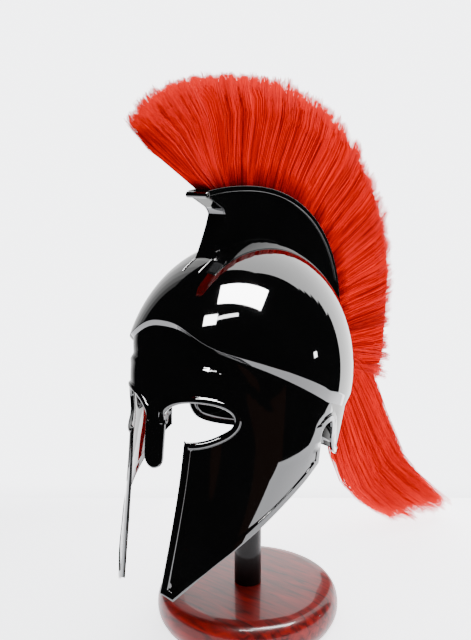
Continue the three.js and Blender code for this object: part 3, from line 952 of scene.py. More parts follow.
@dataclass
class CrestHolder:
    """The tall sheet-metal box on the crown that grips the hair."""

    finish: Material
    form: HelmetForm = field(default_factory=HelmetForm)
    half: float = 12.0
    sheet: float = 2.0
    band_out: float = 1.4
    band_tall: float = 5.0
    lip_radius: float = 3.2
    lip_sides: int = 28
    edge_round: float = 0.45
    tail_floor: float = 130.0
    y_mid: float = -32.0
    z_mid: float = 330.0
    length: float = 200.0
    rise: float = 167.3
    square: float = 2.2
    lip: tuple = (-83.0, 490.0)
    foot: tuple = (-76.0, 424.0)
    neck: tuple = (-53.5, 469.0)
    tail: tuple = (158.0, 254.0)

    def top_edge(self, inset: float = 0.0, y_start: float = -82.0, steps: int = 110) -> np.ndarray:
        """The top edge as (y, z) points, from the lip to the tail end."""
        power = 2 / self.square
        first = math.asin(-(((self.y_mid - y_start) / self.length) ** (1 / power)))
        a = np.linspace(first, math.pi / 2, steps)
        y = self.y_mid + (self.length - inset) * signed_power(np.sin(a), power)
        z = self.z_mid + (self.rise - inset) * np.maximum(np.cos(a), 0) ** power
        end = np.array([[self.tail[0] - inset, self.tail[1]]])
        return np.concatenate([np.stack([y, z], 1), end])

    def height(self, y: np.ndarray) -> np.ndarray:
        """Height of the top edge at a y."""
        k = np.minimum(1, np.abs((y - self.y_mid) / self.length))
        return self.z_mid + self.rise * (1 - k**self.square) ** (1 / self.square)

    def front_line(self, back: float = 0.0) -> np.ndarray:
        """The front plate's side view from the crown up to the lip, moved back by the sheet."""
        (y_foot, z_foot), (y_neck, z_neck), (y_lip, z_lip) = self.foot, self.neck, self.lip
        low = bezier([(y_foot - 10 + back, z_foot - 20), (y_neck - 5 + back, z_neck - 18),
                      (y_neck + back, z_neck)], 2.0)
        turn = bezier([(y_neck + back, z_neck), (y_neck - 2 + back, z_neck + 6 + back),
                       (y_neck - 8, z_neck + 9 + back)], 1.0)
        flare = bezier([(y_neck - 8, z_neck + 9 + back), (y_lip, z_lip - 1 + back)], 3.0)
        return np.concatenate([low, turn[1:], flare[1:]])

    def crown_line(self, x: float) -> np.ndarray:
        """The crown's side view at x, from the front up over the top to the tail, as (y, z)."""
        f = self.form
        start = math.asin((self.foot[1] - 10 - f.z_mid) / f.rise)
        end = math.asin((self.tail[1] - f.z_mid) / f.rise)
        edge = (x / f.half_width) ** f.square
        top = math.acos(min(0.999, edge ** (1 / f.square)))

        def arc(a: np.ndarray, length: float) -> np.ndarray:
            k = np.maximum(0, np.cos(a) ** f.square - edge) ** (1 / f.square)
            return np.stack([f.y_mid + length * k, f.z_mid + f.rise * np.sin(a)], 1)

        forward = arc(np.linspace(start, top, 40), -f.front)
        backward = arc(np.linspace(top, end, 90), f.back)
        return np.concatenate([forward, backward[1:]])

    def prism(self, outline: np.ndarray, x_low: float, x_high: float) -> tuple[np.ndarray, list]:
        """A flat plate with a (y, z) outline between two values of x."""
        count = len(outline)
        sides = [np.column_stack([np.full(count, x), outline]) for x in (x_low, x_high)]
        area = np.sum(outline[:, 0] * np.roll(outline[:, 1], -1)
                      - np.roll(outline[:, 0], -1) * outline[:, 1])
        ring = list(range(count))
        faces = [ring[::-1], [i + count for i in ring]]
        faces += [(i, (i + 1) % count, count + (i + 1) % count, count + i) for i in ring]
        if area < 0:
            faces = [list(f)[::-1] for f in faces]
        return np.concatenate(sides), faces

    def plates(self) -> list[tuple[np.ndarray, list]]:
        """Every plate of the box: two sides, front, tail end and edge bands; the rolled lip is made
        apart.
        """
        inner = self.half - self.sheet
        side = np.concatenate([self.front_line(), self.top_edge(), self.crown_line(inner)[::-1]])
        front = np.concatenate([self.front_line(), self.front_line(self.sheet)[::-1]])
        y_tail, z_tail = self.tail[0] + 10, self.tail[1]
        z_over = z_tail + self.sheet
        bottom = np.array([(self.tail_floor, z_tail), (y_tail, z_tail), (y_tail, z_over),
                           (self.tail_floor, z_over)])
        band = np.concatenate([self.top_edge(-0.4), self.top_edge(self.band_tall)[::-1]])
        made = [self.prism(front, -inner, inner), self.prism(bottom, -inner, inner)]
        for low, high in ((inner, self.half), (-self.half, -inner)):
            made.append(self.prism(side, low, high))
        for low, high in ((self.half - 0.6, self.half + self.band_out),
                          (-self.half - self.band_out, -self.half + 0.6)):
            made.append(self.prism(band, low, high))
        return made

    def rolled_lip(self) -> tuple[np.ndarray, list]:
        """The lip's round bead, with softly rounded ends."""
        reach = self.half + self.band_out + 0.4
        rings = [(-reach, 0.05), (-reach, 0.7), (-reach + 0.3, 0.9), (-reach + 0.9, 1.0)]
        rings += [(-x, k) for x, k in rings[::-1]]
        size = self.lip_sides
        round_lip = [[(x, self.lip[0] + self.lip_radius * k * math.cos(TAU * i / size),
                       self.lip[1] + self.lip_radius * k * math.sin(TAU * i / size))
                      for i in range(size)] for x, k in rings]
        points, faces = skin([np.array(ring) for ring in round_lip])
        return points, [face[::-1] for face in faces]

    def build(self) -> Object:
        """Builds the box from its plates, with small rounded edges."""
        points, faces = [], []
        for plate_points, plate_faces in self.plates() + [self.rolled_lip()]:
            shift = sum(len(p) for p in points)
            points.append(plate_points)
            faces += [[i + shift for i in f] for f in plate_faces]
        made = piece_from("crest_holder_sheet", np.concatenate(points), faces)
        face_outwards(made)
        bevel = made.modifiers.new("soft_edges", "BEVEL")
        bevel.width = self.edge_round * MM
        bevel.segments = 2
        bevel.limit_method = "ANGLE"
        bevel.angle_limit = math.radians(50)
        made.modifiers.new("flat_faces", "WEIGHTED_NORMAL")
        settle(made, None)
        mount(made, self.finish, "lacquered_shell", "crest_holder")
        return made


# ---------------------------------------------------------------- hair


class HairPart(Enum):
    """The stretches of hair, each made as a piece of its own."""

    FAN_FRONT = "plume_fan_front"
    FAN_TOP = "plume_fan_top"
    FAN_BACK = "plume_fan_back"
    TAIL_UPPER = "plume_tail_upper"
    TAIL_LOWER = "plume_tail_lower"


@dataclass
class Locks:
    """Guide lines for locks of hair, with how far the hairs spread round each point."""

    points: list = field(default_factory=list)
    edges: list = field(default_factory=list)
    thick: list = field(default_factory=list)
    wide: list = field(default_factory=list)
    reach: list = field(default_factory=list)

    def add(self, line: np.ndarray, thick: np.ndarray, wide: np.ndarray) -> None:
        """Adds one lock from its root to its tip."""
        start = len(self.points)
        self.points += line.tolist()
        self.edges += [(start + i, start + i + 1) for i in range(len(line) - 1)]
        self.thick += list(thick)
        self.wide += list(wide)
        self.reach += list(np.linspace(0, 1, len(line)))

    def guide(self, name: str) -> Object:
        """Makes the guide lines an object of loose edges that carries their attributes."""
        mesh = bpy.data.meshes.new(name)
        mesh.from_pydata((np.array(self.points) * MM).tolist(), self.edges, [])
        for label, values, unit in (("half_thick", self.thick, MM), ("half_wide", self.wide, MM),
                                    ("reach", self.reach, 1.0)):
            carry(mesh, label, np.array(values, dtype=np.float32) * unit)
        made = bpy.data.objects.new(name, mesh)
        bpy.context.scene.collection.objects.link(made)
        return made


@dataclass
class BristleTree:
    """Geometry Nodes that grow hairs along every guide line of an object."""

    name: str = "bristles_along_locks"
    sides: int = 3
    wander_scale: float = 16.0
    taper_from: float = 0.45
    taper_to: float = 0.3
    tree: NodeTree = field(init=False)
    given: Node = field(init=False)

    def add(self, kind: str, settings: dict | None = None, links: dict | None = None) -> Node:
        """Adds a node to the tree, as add_node does."""
        return add_node(self.tree, kind, settings, links)

    def times(self, a: NodeSocket, b: NodeSocket) -> NodeSocket:
        """Multiplies two numbers."""
        return self.add("ShaderNodeMath", {"operation": "MULTIPLY"}, {0: a, 1: b}).outputs[0]

    def scaled(self, vector: NodeSocket, by: NodeSocket) -> NodeSocket:
        """Scales a vector."""
        return self.add("ShaderNodeVectorMath", {"operation": "SCALE"},
                        {0: vector, "Scale": by}).outputs[0]

    def summed(self, a: NodeSocket, b: NodeSocket) -> NodeSocket:
        """Adds two vectors."""
        return self.add("ShaderNodeVectorMath", {"operation": "ADD"}, {0: a, 1: b}).outputs[0]

    def named(self, label: str) -> NodeSocket:
        """Reads a number that the guide lines carry."""
        return self.add("GeometryNodeInputNamedAttribute",
                        {"data_type": "FLOAT", "Name": label}).outputs["Attribute"]

    def per_hair(self, turn: int, low: float, high: float) -> NodeSocket:
        """A random number for each hair, the same along its whole length.

        Args:
            turn: Number of the draw, so that no two draws are alike.
            low: The least value.
            high: The greatest value.

        Returns:
            The number's socket.
        """
        number = self.add("ShaderNodeMath", {"operation": "ADD", 1: turn},
                          {0: self.given.outputs["Seed"]})
        draw = self.add("FunctionNodeRandomValue", {"data_type": "FLOAT", 2: low, 3: high},
                        {"Seed": number.outputs[0]})
        return self.add("GeometryNodeFieldOnDomain", {"data_type": "FLOAT", "domain": "CURVE"},
                        {0: draw.outputs[1]}).outputs[0]

    def start(self) -> dict[str, str]:
        """Starts the tree and returns the identifier of each named input."""
        self.tree = bpy.data.node_groups.new(self.name, "GeometryNodeTree")
        sockets = self.tree.interface
        sockets.new_socket("Geometry", in_out="INPUT", socket_type="NodeSocketGeometry")
        kinds = {"Hairs per lock": "NodeSocketInt", "Hair radius": "NodeSocketFloat",
                 "Shortest hair": "NodeSocketFloat", "Frizz": "NodeSocketFloat",
                 "Seed": "NodeSocketInt", "Hair finish": "NodeSocketMaterial"}
        names = {label: sockets.new_socket(label, in_out="INPUT", socket_type=kind).identifier
                 for label, kind in kinds.items()}
        sockets.new_socket("Geometry", in_out="OUTPUT", socket_type="NodeSocketGeometry")
        self.given = self.add("NodeGroupInput")
        return names

    def spread_hairs(self) -> NodeSocket:
        """Copies each guide line into hairs, and spreads and ruffles them round it."""
        lines = self.add("GeometryNodeMeshToCurve", links={"Mesh": self.given.outputs["Geometry"]})
        hairs = self.add("GeometryNodeDuplicateElements", {"domain": "SPLINE"},
                         {"Geometry": lines.outputs["Curve"],
                          "Amount": self.given.outputs["Hairs per lock"]})
        across = self.times(self.named("half_thick"), self.per_hair(1, -1, 1))
        along = self.times(self.named("half_wide"), self.per_hair(2, -1, 1))
        x_axis = self.add("ShaderNodeCombineXYZ", {"X": 1.0}).outputs[0]
        tangent = self.add("GeometryNodeInputTangent").outputs[0]
        side = self.add("ShaderNodeVectorMath", {"operation": "CROSS_PRODUCT"},
                        {0: tangent, 1: x_axis}).outputs[0]
        spread = self.summed(self.scaled(x_axis, across), self.scaled(side, along))
        wander = self.add("ShaderNodeTexNoise",
                          {"noise_dimensions": "4D", "Scale": self.wander_scale, "Detail": 1.0},
                          {"Vector": self.add("GeometryNodeInputPosition").outputs[0],
                           "W": self.per_hair(3, 0, 40)})
        centred = self.add("ShaderNodeVectorMath", {"operation": "SUBTRACT", 1: (0.5, 0.5, 0.5)},
                           {0: wander.outputs["Color"]}).outputs[0]
        loose = self.times(self.given.outputs["Frizz"], self.named("reach"))
        offset = self.summed(spread, self.scaled(centred, loose))
        moved = self.add("GeometryNodeSetPosition",
                         links={"Geometry": hairs.outputs["Geometry"], "Offset": offset})
        return moved.outputs["Geometry"]

    def trimmed(self, hairs: NodeSocket) -> NodeSocket:
        """Cuts the hairs to uneven lengths, thins them to their tips and gives each its tone."""
        even = self.per_hair(4, 0, 1)
        length = self.add("ShaderNodeMapRange",
                          {"From Min": 0.0, "From Max": 1.0, "To Min": 1.0},
                          {"Value": self.times(even, even),
                           "To Max": self.given.outputs["Shortest hair"]})
        cut = self.add("GeometryNodeTrimCurve",
                       links={"Curve": hairs, "End": length.outputs["Result"]})
        factor = self.add("GeometryNodeSplineParameter").outputs["Factor"]
        taper = self.add("ShaderNodeMapRange",
                         {"From Min": self.taper_from, "From Max": 1.0, "To Min": 1.0,
                          "To Max": self.taper_to}, {"Value": factor})
        thin = self.times(self.given.outputs["Hair radius"], taper.outputs["Result"])
        sized = self.add("GeometryNodeSetCurveRadius",
                         links={"Curve": cut.outputs["Curve"], "Radius": thin})
        toned = self.add("GeometryNodeStoreNamedAttribute",
                         {"data_type": "FLOAT", "domain": "POINT", "Name": "tone"},
                         {"Geometry": sized.outputs["Curve"], "Value": self.per_hair(5, 0, 1)})
        return toned.outputs["Geometry"]

    def build(self) -> tuple[NodeTree, dict[str, str]]:
        """Builds the tree.

        Returns:
            The tree and the identifier of each named input.
        """
        names = self.start()
        ring = self.add("GeometryNodeCurvePrimitiveCircle",
                        {"Resolution": self.sides, "Radius": 1.0})
        tubes = self.add("GeometryNodeCurveToMesh", {"Fill Caps": True}, {
            "Curve": self.trimmed(self.spread_hairs()), "Profile Curve": ring.outputs["Curve"],
            "Scale": self.add("GeometryNodeInputRadius").outputs[0]})
        real = self.add("GeometryNodeRealizeInstances", links={"Geometry": tubes.outputs["Mesh"]})
        dressed = self.add("GeometryNodeSetMaterial", links={
            "Geometry": real.outputs["Geometry"], "Material": self.given.outputs["Hair finish"]})
        self.add("NodeGroupOutput", links={0: dressed.outputs["Geometry"]})
        return self.tree, names


@dataclass
class Plume:
    """The hair crest: a tall fan along the holder and a long tail behind it."""

    holder: CrestHolder
    finish: DyedHair
    hair_radius: float = 0.4
    hairs_per_fan_lock: int = 50
    hairs_per_tail_lock: int = 40
    frizz: float = 7.0
    fan_locks: int = 380
    tail_locks: int = 250
    shortest_hair: float = 0.86
    sag: float = 22.0
    sag_from: float = 11.0
    fan: Table = Table(
        ("at", "root", "drop", "tip_y", "tip_z"),
        (
            (-0.6, -69, 0, -166, 559), (0, -68, 0, -157, 573), (1, -60, 0, -131, 590),
            (2, -46, 0, -88, 602), (3, -24, 0, -34, 608), (4, 8, 0, 30, 609),
            (5, 48, 0, 97, 597), (6, 88, 0, 164, 574), (7, 124, 0, 220, 533),
            (8, 148, 0, 266, 485), (9, 162, 0, 296, 430), (10, 167, 0, 311, 376),
            (10.7, 168, 8, 309, 344), (11.4, 168, 24, 308, 311), (12.1, 168, 42, 304, 277),
            (12.8, 168, 62, 296, 245),
        ),
    )
    tail: Table = Table(
        ("row", "y_root", "z_root", "y_mid", "z_mid", "y_low", "z_low", "y_end", "z_end", "x_end"),
        (
            (0, 163, 296, 234, 266, 278, 206, 324, 124, 4),
            (1, 162, 288, 230, 242, 289, 146, 376, 62, 12),
            (2, 159, 290, 226, 232, 292, 122, 398, 19, 66),
            (3, 156, 276, 204, 202, 262, 96, 352, 18, 52),
            (4, 152, 264, 184, 178, 234, 82, 306, 19, 30),
        ),
    )
    swell: Table = Table(("reach", "half"), ((0, 9), (0.15, 9.6), (0.8, 20), (1, 15)))

    def fan_line(self, at: np.ndarray, reach: np.ndarray) -> np.ndarray:
        """Points of the fan's middle sheet.

        Args:
            at: Place along the fan table.
            reach: 0 at the holder's edge and 1 at the hair's outer edge.

        Returns:
            One row of x, y and z for each point.
        """
        root_y = self.fan.read("root", at)
        root_z = self.holder.height(root_y) - self.fan.read("drop", at)
        root = np.stack([np.zeros_like(root_y), root_y, root_z], -1)
        tip = np.stack([np.zeros_like(root_y), self.fan.read("tip_y", at),
                        self.fan.read("tip_z", at)], -1)
        return root + (tip - root) * np.asarray(reach)[..., None]

    def tail_line(self, row: float, count: int, end: float = 1.0) -> np.ndarray:
        """Points along one lock of the tail, from inside the holder to its tip."""
        def read(name: str) -> float:
            return float(self.tail.read(name, np.array(row)))

        x_end = read("x_end")
        stops = np.array([
            (0, read("y_root") - 8, read("z_root") + 2), (0, read("y_root") + 8, read("z_root") - 4),
            (0, read("y_mid"), read("z_mid")), (x_end * 0.15, read("y_low"), read("z_low")),
            (x_end, read("y_end"), read("z_end"))])
        steps = np.linalg.norm(np.diff(stops, axis=0), axis=1)
        chord = np.concatenate([[0], np.cumsum(steps**0.5)])
        chord /= chord[-1]
        slope = np.gradient(stops, chord, axis=0)
        t = np.minimum(np.linspace(0, end, count), 1) ** 0.9
        i = np.clip(np.searchsorted(chord, t, side="right") - 1, 0, len(stops) - 2)
        gap = (chord[i + 1] - chord[i])[:, None]
        k = ((t - chord[i])[:, None]) / gap
        return ((2 * k**3 - 3 * k**2 + 1) * stops[i] + (k**3 - 2 * k**2 + k) * gap * slope[i]
                + (-2 * k**3 + 3 * k**2) * stops[i + 1] + (k**3 - k**2) * gap * slope[i + 1])

    def fan_guides(self, low: float, high: float, seed: int) -> Locks:
        """Guide lines of the fan between two places along it."""
        draw = np.random.default_rng(seed)
        locks = Locks()
        count = round(self.fan_locks * (high - low) / 10)
        for i in range(count):
            at = low + (high - low) * (i + draw.random()) / count
            ragged = 0.025 + 0.05 * float(smooth(np.array(at), 5.0, 8.5))
            end = 1.02 - ragged * draw.random() - ragged * draw.random() ** 6
            reach = np.array([-0.08, 0.25, 0.66, end])
            lean = draw.normal(0, 0.04) * np.maximum(reach, 0)
            line = self.fan_line(np.clip(at + lean, self.fan.rows[0][0], self.fan.rows[-1][0]), reach)
            half = self.swell.read("half", reach)
            line[:, 0] = draw.uniform(-0.8, 0.8) * half
            line[:, 2] += 1.5 * draw.normal() * np.maximum(reach, 0) ** 2
            sag = self.sag * max(at - self.sag_from, 0) * draw.random()
            line[:, 2] -= sag * np.maximum(reach, 0) ** 1.6
            locks.add(line, half * 0.3 * np.array([1, 1, 0.9, 0.5]),
                      np.array([2.6, 4.2, 5.6, 5.0]))
        return locks

    def tail_guides(self, low: float, high: float, seed: int) -> Locks:
        """Guide lines of the tail between two rows of its table."""
        draw = np.random.default_rng(seed)
        locks = Locks()
        count = round(self.tail_locks * (high - low) / 5)
        for i in range(count):
            row = low + (high - low) * (i + draw.random()) / count
            line = self.tail_line(row, 7, 1.03 - 0.2 * draw.random())
            reach = np.linspace(0, 1, 7)
            half = np.interp(reach, (0, 0.2, 0.6, 1), (8.5, 10.5, 19, 11))
            line[:, 0] += draw.uniform(-0.7, 0.7) * half
            line[:, 1] += draw.normal() * 6 * reach**2
            line[:, 2] = np.maximum(line[:, 2] + draw.normal() * 3 * reach**2, 15 + 3 * draw.random())
            locks.add(line, half * np.interp(reach, (0, 0.7, 1), (0.35, 0.4, 0.2)),
                      np.interp(reach, (0, 0.15, 0.5, 0.85, 1), (3, 5, 8, 7, 3.5)))
        return locks

    def core_of_fan(self) -> tuple[list, np.ndarray, np.ndarray]:
        """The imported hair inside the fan.

        Returns:
            Rings of points from front to back, with each point's strand and reach.
        """
        places = np.linspace(-0.4, 12.7, 188)
        reach = np.array([-0.1, 0.1, 0.35, 0.6, 0.8, 0.9, 0.94])
        half = self.swell.read("half", reach) * np.array([0.9, 0.92, 0.88, 0.84, 0.7, 0.45, 0.1])
        rings = []
        for i, at in enumerate(places):
            side = self.fan_line(np.full_like(reach, at), reach * (1 - 0.02 * (i % 2)))
            ring = np.concatenate([side, side[::-1]])
            ring[:, 0] = np.concatenate([half, -half[::-1]])
            rings.append(ring)
        strand = np.repeat(places * 70 / 1.5, 2 * len(reach))
        return rings, strand, np.tile(np.concatenate([reach, reach[::-1]]), len(places))

    def core_of_tail(self) -> tuple[list, np.ndarray, np.ndarray]:
        """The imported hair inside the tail, as core_of_fan gives it."""
        count = 22
        rows = np.linspace(0.6, 3.9, 7)
        lines = np.array([self.tail_line(r, count) for r in rows])
        rings = []
        for j in range(count - 2):
            middle = lines[:, j]
            k = j / (count - 1)
            half = np.interp(k, (0, 0.2, 0.6, 1), (8.5, 9, 10, 4)) * np.sqrt(
                1 - np.linspace(-0.97, 0.97, len(rows)) ** 2)
            aside = np.stack([half, 0 * half, 0 * half], 1)
            rings.append(np.concatenate([middle + aside, (middle - aside)[::-1]]))
        strand = np.tile(np.concatenate([rows, rows[::-1]]) * 20, len(rings))
        return rings, strand, np.repeat(np.linspace(0, 1, len(rings)), 2 * len(rows))

    def build(self) -> list[Object]:
        """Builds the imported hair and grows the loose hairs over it."""
        core = []
        packed = self.finish.packed()
        for name, (rings, strand, reach) in (("plume_fan_core", self.core_of_fan()),
                                             ("plume_tail_core", self.core_of_tail())):
            made = piece_from(name, *skin(rings))
            for label, values in (("strand", strand), ("reach", reach)):
                carry(made.data, label, values)
            face_outwards(made)
            mount(made, packed, "red_hair", *(("plume",) if name == "plume_fan_core" else ()))
            core.append(made)
        tree, names = BristleTree().build()
        finish = self.finish.loose()
        stretches = {
            HairPart.FAN_FRONT: self.fan_guides(-0.6, 3.9, 11),
            HairPart.FAN_TOP: self.fan_guides(3.8, 8.4, 12),
            HairPart.FAN_BACK: self.fan_guides(8.3, 12.8, 13),
            HairPart.TAIL_UPPER: self.tail_guides(0.3, 2.1, 14),
            HairPart.TAIL_LOWER: self.tail_guides(2.0, 4.0, 15),
        }
        for number, (part, locks) in enumerate(stretches.items()):
            made = locks.guide(part.value)
            grow = made.modifiers.new("bristles", "NODES")
            grow.node_group = tree
            in_tail = part in (HairPart.TAIL_UPPER, HairPart.TAIL_LOWER)
            grow[names["Hairs per lock"]] = (self.hairs_per_tail_lock if in_tail
                                             else self.hairs_per_fan_lock)
            grow[names["Hair radius"]] = self.hair_radius * MM
            grow[names["Shortest hair"]] = self.shortest_hair
            grow[names["Frizz"]] = self.frizz * MM
            grow[names["Seed"]] = 20 * (number + 1)
            grow[names["Hair finish"]] = finish
            settle(made, 180)
            mount(made, finish, "red_hair")
            core.append(made)
        return core


# ---------------------------------------------------------------- stand


@dataclass
class Stand:
    """The turned disc and the round post that carries the helmet."""

    disc_finish: VarnishedWood
    post_finish: VarnishedWood
    foot: float = 96.0
    radius: float = 105.0
    top: float = 90.0
    height: float = 40.0
    post_radius: float = 15.5
    post_top: float = 435.0
    gap: float = 0.3
    segments: int = 160

    def turned(self, name: str, profile: Sequence[tuple[float, float]]) -> Object:
        """Turns a profile of (radius, height) points round the stand's axis."""
        size = self.segments
        rings = [[(r * math.cos(TAU * i / size), r * math.sin(TAU * i / size), z)
                  for i in range(size)] for r, z in profile if r > 0]
        points, faces = skin([np.array(r) for r in rings])
        made = piece_from(name, points, faces)
        settle(made, 30)
        return made

    def disc_profile(self) -> list[tuple[float, float]]:
        """The disc's edge: a short foot, a full round belly and a softly dished shoulder."""
        belly = [(self.foot, 0.0), (self.foot + 3.6, 1.4)]
        for i in range(1, 26):
            a = math.radians(-62 + 150 * i / 26)
            low = 18.0
            tall = 18.5 if a < 0 else self.height - low - 1.2
            reach = self.radius - self.top - 1
            belly.append((self.top + 1 + reach * math.cos(a) ** 0.8, low + tall * math.sin(a)))
        return belly + [(self.top - 1.5, self.height - 0.3), (self.top - 4, self.height),
                        (2.0, self.height)]

    def build(self) -> list[Object]:
        """Builds the disc and the post."""
        disc = self.turned("stand_disc", self.disc_profile())
        mount(disc, self.disc_finish.material(), "mahogany", "stand_base")
        low = self.height + self.gap
        r, top = self.post_radius, self.post_top
        profile = [(r - 0.4, low), (r, low + 0.5), (r, top - 3), (r - 0.7, top - 1.4),
                   (r - 3, top), (1.0, top)]
        post = self.turned("stand_post_turned", profile)
        mount(post, self.post_finish.material(), "mahogany", "stand_post")
        return [disc, post]


# ---------------------------------------------------------------- studio


@dataclass(frozen=True)
class SoftBox:
    """A flat lamp seen from the helmet at an azimuth and elevation, in degrees and metres."""

    name: str
    azimuth: float
    elevation: float
    distance: float
    width: float
    height: float
    radiance: float
    colour: str = "#ffffff"
    roll: float = 0.0
    mirrored: bool = True
    lights: bool = True


@dataclass(frozen=True)
class Screen:
    """An upright lamp behind the helmet, from one side to the other, in metres."""

    name: str
    left: float
    right: float
    top: float
    radiance: float
    bottom: float = 0.0
    colour: str = "#ffffff"


@dataclass
class Studio:
    """Floor, world light, lamps and camera."""

    middle: tuple = (0.0, 0.0, 0.33)
    floor_sides: tuple = (-0.9, 0.84, -0.46, 0.42)
    floor_fade: float = 0.16
    floor_glow: float = 2.6
    floor_points: int = 30
    screen_behind: float = 0.34
    camera_place: tuple = (0.5658, -0.7242, 0.528)
    camera_pitch: float = 10.93
    camera_heading: float = 38.89
    lens: float = 47.8
    fill: float = 0.7
    backdrop: float = 5.4
    backdrop_colour: str = "#f6f7fb"
    mirrored: float = 0.015
    screens: tuple = (
        Screen("wall", -0.12, 1.0, 2.5, 4.6, bottom=1.0),
        Screen("wall_g", -0.12, 0.94, 1.0, 4.6, bottom=0.88),
        Screen("wall_h", -0.12, 0.87, 0.88, 4.6, bottom=0.76),
        Screen("wall_i", -0.12, 0.80, 0.76, 4.6, bottom=0.64),
        Screen("wall_j", -0.12, 0.73, 0.64, 4.6, bottom=0.5),
        Screen("wall_low", -0.12, 0.66, 0.5, 4.6),
        Screen("wall_a", -0.22, -0.12, 1.0, 1.9),
        Screen("wall_b", -0.30, -0.22, 1.0, 1.5),
        Screen("wall_c", -0.38, -0.30, 1.0, 1.15),
        Screen("wall_d", -0.48, -0.38, 1.0, 0.8),
        Screen("wall_e", -0.60, -0.48, 1.0, 0.4),
    )
    boxes: tuple = (
        SoftBox("ceiling_window", 95, 63, 2.4, 1.75, 0.8, 120.0, roll=-50, lights=False),
        SoftBox("small_window", 36, 51, 2.4, 0.56, 0.36, 90.0, lights=False),
        SoftBox("small_window_side", 62, 50.5, 2.4, 0.85, 0.12, 40.0, roll=-9, lights=False),
        SoftBox("desk", 84, -19, 2.6, 2.3, 1.0, 0.3, "#7a4a30", lights=False),
        SoftBox("glint", 135, 1, 2.6, 0.12, 0.12, 40.0, lights=False),
        SoftBox("top_light", 60, 72, 2.2, 2.4, 2.4, 3.7, mirrored=False),
        SoftBox("front_light", 30, 32, 2.6, 1.6, 1.6, 4.8, mirrored=False),
    )

    def from_camera(self, right: float, ahead: float, up: float) -> Vector:
        """The place of a point given as seen along the camera's heading."""
        turn = math.radians(self.camera_heading)
        return Vector((right * math.cos(turn) - ahead * math.sin(turn),
                       right * math.sin(turn) + ahead * math.cos(turn), up))

    def lay_floor(self) -> Object:
        """A plain pale floor that fades into the pale surroundings at its sides."""
        left, right, near, far = self.floor_sides
        size = self.floor_points
        across, along = np.linspace(left, right, size), np.linspace(near, far, size)
        points = [self.from_camera(a, b, 0.0) / MM for b in along for a in across]
        faces = [(j * size + i, j * size + i + 1, (j + 1) * size + i + 1, (j + 1) * size + i)
                 for j in range(size - 1) for i in range(size - 1)]
        floor = piece_from("floor", np.array(points), faces)
        edge = np.array([min(a - left, right - a, b - near, far - b) for b in along for a in across])
        carry(floor.data, "fade", 1 - smooth(edge, 0.0, self.floor_fade))
        pale = linear(self.backdrop_colour)
        made, tree, shader = new_material("matt_white_board", {
            "Base Color": linear("#f0f0f2"), "Roughness": 0.75, "Specular IOR Level": 0.2,
            "Emission Color": pale, "Emission Strength": self.floor_glow})
        far_off = add_node(tree, "ShaderNodeEmission", {"Strength": self.backdrop, "Color": pale})
        mixed = add_node(tree, "ShaderNodeMixShader", links={
            0: carried(tree, "fade"), 1: shader.outputs[0], 2: far_off.outputs[0]})
        wire(tree, tree.nodes["Material Output"], {"Surface": mixed.outputs[0]})
        floor.data.materials.append(made)
        return floor

    def set_world(self) -> None:
        """Pale surroundings for the camera, and a dimmer room for what the lacquer mirrors."""
        world = bpy.data.worlds.new("pale_room")
        bpy.context.scene.world = world
        world.use_nodes = True
        tree = world.node_tree
        tree.nodes.clear()
        ray = add_node(tree, "ShaderNodeLightPath")
        last = None
        for colour, strength, kind in (("#e9edf6", self.fill, None),
                                       (self.backdrop_colour, self.backdrop, "Is Camera Ray"),
                                       ("#dfe3ee", self.mirrored, "Is Glossy Ray")):
            light = add_node(tree, "ShaderNodeBackground",
                             {"Strength": strength, "Color": linear(colour)})
            if kind:
                light = add_node(tree, "ShaderNodeMixShader", links={
                    0: ray.outputs[kind], 1: last, 2: light.outputs[0]})
            last = light.outputs[0]
        add_node(tree, "ShaderNodeOutputWorld", links={"Surface": last})

    def lamp(self, name: str, width: float, height: float, radiance: float,
             colour: str) -> Object:
        """Makes a flat lamp that the camera doesn't see."""
        data = bpy.data.lights.new(name, "AREA")
        data.shape = "RECTANGLE"
        data.size, data.size_y = width, height
        data.color = linear(colour)[:3]
        data.energy = radiance * math.pi * width * height
        made = bpy.data.objects.new(name, data)
        made.visible_camera = False
        bpy.context.scene.collection.objects.link(made)
        return made

    def hang(self, box: SoftBox) -> None:
        """Hangs one lamp, facing the helmet."""
        made = self.lamp(box.name, box.width, box.height, box.radiance, box.colour)
        a, e = math.radians(box.azimuth), math.radians(box.elevation)
        away = Vector((math.sin(a) * math.cos(e), -math.cos(a) * math.cos(e), math.sin(e)))
        made.location = Vector(self.middle) + away * box.distance
        roll = Euler((0, 0, math.radians(box.roll))).to_quaternion()
        made.rotation_euler = (away.to_track_quat("Z", "Y") @ roll).to_euler()
        made.visible_glossy = box.mirrored
        made.visible_diffuse = box.lights

    def stand_up(self, screen: Screen) -> None:
        """Stands one upright lamp on the floor behind the helmet."""
        width, height = screen.right - screen.left, screen.top - screen.bottom
        made = self.lamp(screen.name, width, height, screen.radiance, screen.colour)
        made.location = self.from_camera((screen.left + screen.right) / 2, self.screen_behind,
                                         (screen.top + screen.bottom) / 2)
        made.rotation_euler = (math.radians(-90), 0, math.radians(self.camera_heading))

    def place_camera(self) -> None:
        """Sets the camera a little above the helmet, off its left front."""
        lens = bpy.data.cameras.new("camera")
        lens.lens = self.lens
        lens.sensor_width = 36.0
        made = bpy.data.objects.new("camera", lens)
        made.location = self.camera_place
        made.rotation_euler = (math.radians(90 - self.camera_pitch), 0,
                               math.radians(self.camera_heading))
        bpy.context.scene.collection.objects.link(made)
        bpy.context.scene.camera = made

    def build(self) -> None:
        """Sets up everything round the object."""
        self.lay_floor()
        self.set_world()
        for box in self.boxes:
            self.hang(box)
        for screen in self.screens:
            self.stand_up(screen)
        self.place_camera()


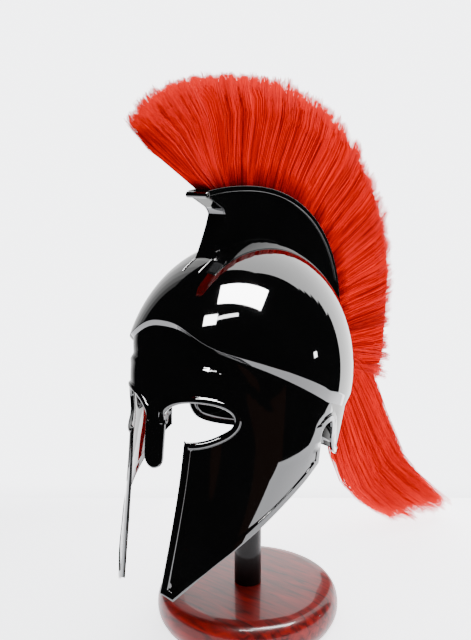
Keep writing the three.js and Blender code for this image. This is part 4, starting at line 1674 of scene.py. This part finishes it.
def main() -> None:
    """Builds the helmet, its crest and its stand, and the studio round them."""
    logging.basicConfig(level=logging.INFO, format="%(name)s: %(message)s")
    lacquer = PolishedLacquer().material()
    Studio().build()
    Shell(lacquer).build()
    holder = CrestHolder(lacquer)
    holder.build()
    Plume(holder, DyedHair()).build()
    # Mahogany shows red-brown grain deep under the varnish; the post is stained almost black.
    Stand(VarnishedWood("varnished_mahogany", "#2a0403", "#7a0d08", grain_mm=7.0, coat=0.24),
          VarnishedWood("stained_post", "#050202", "#0e0404", coat=0.15)).build()


if __name__ == "__main__":
    main()
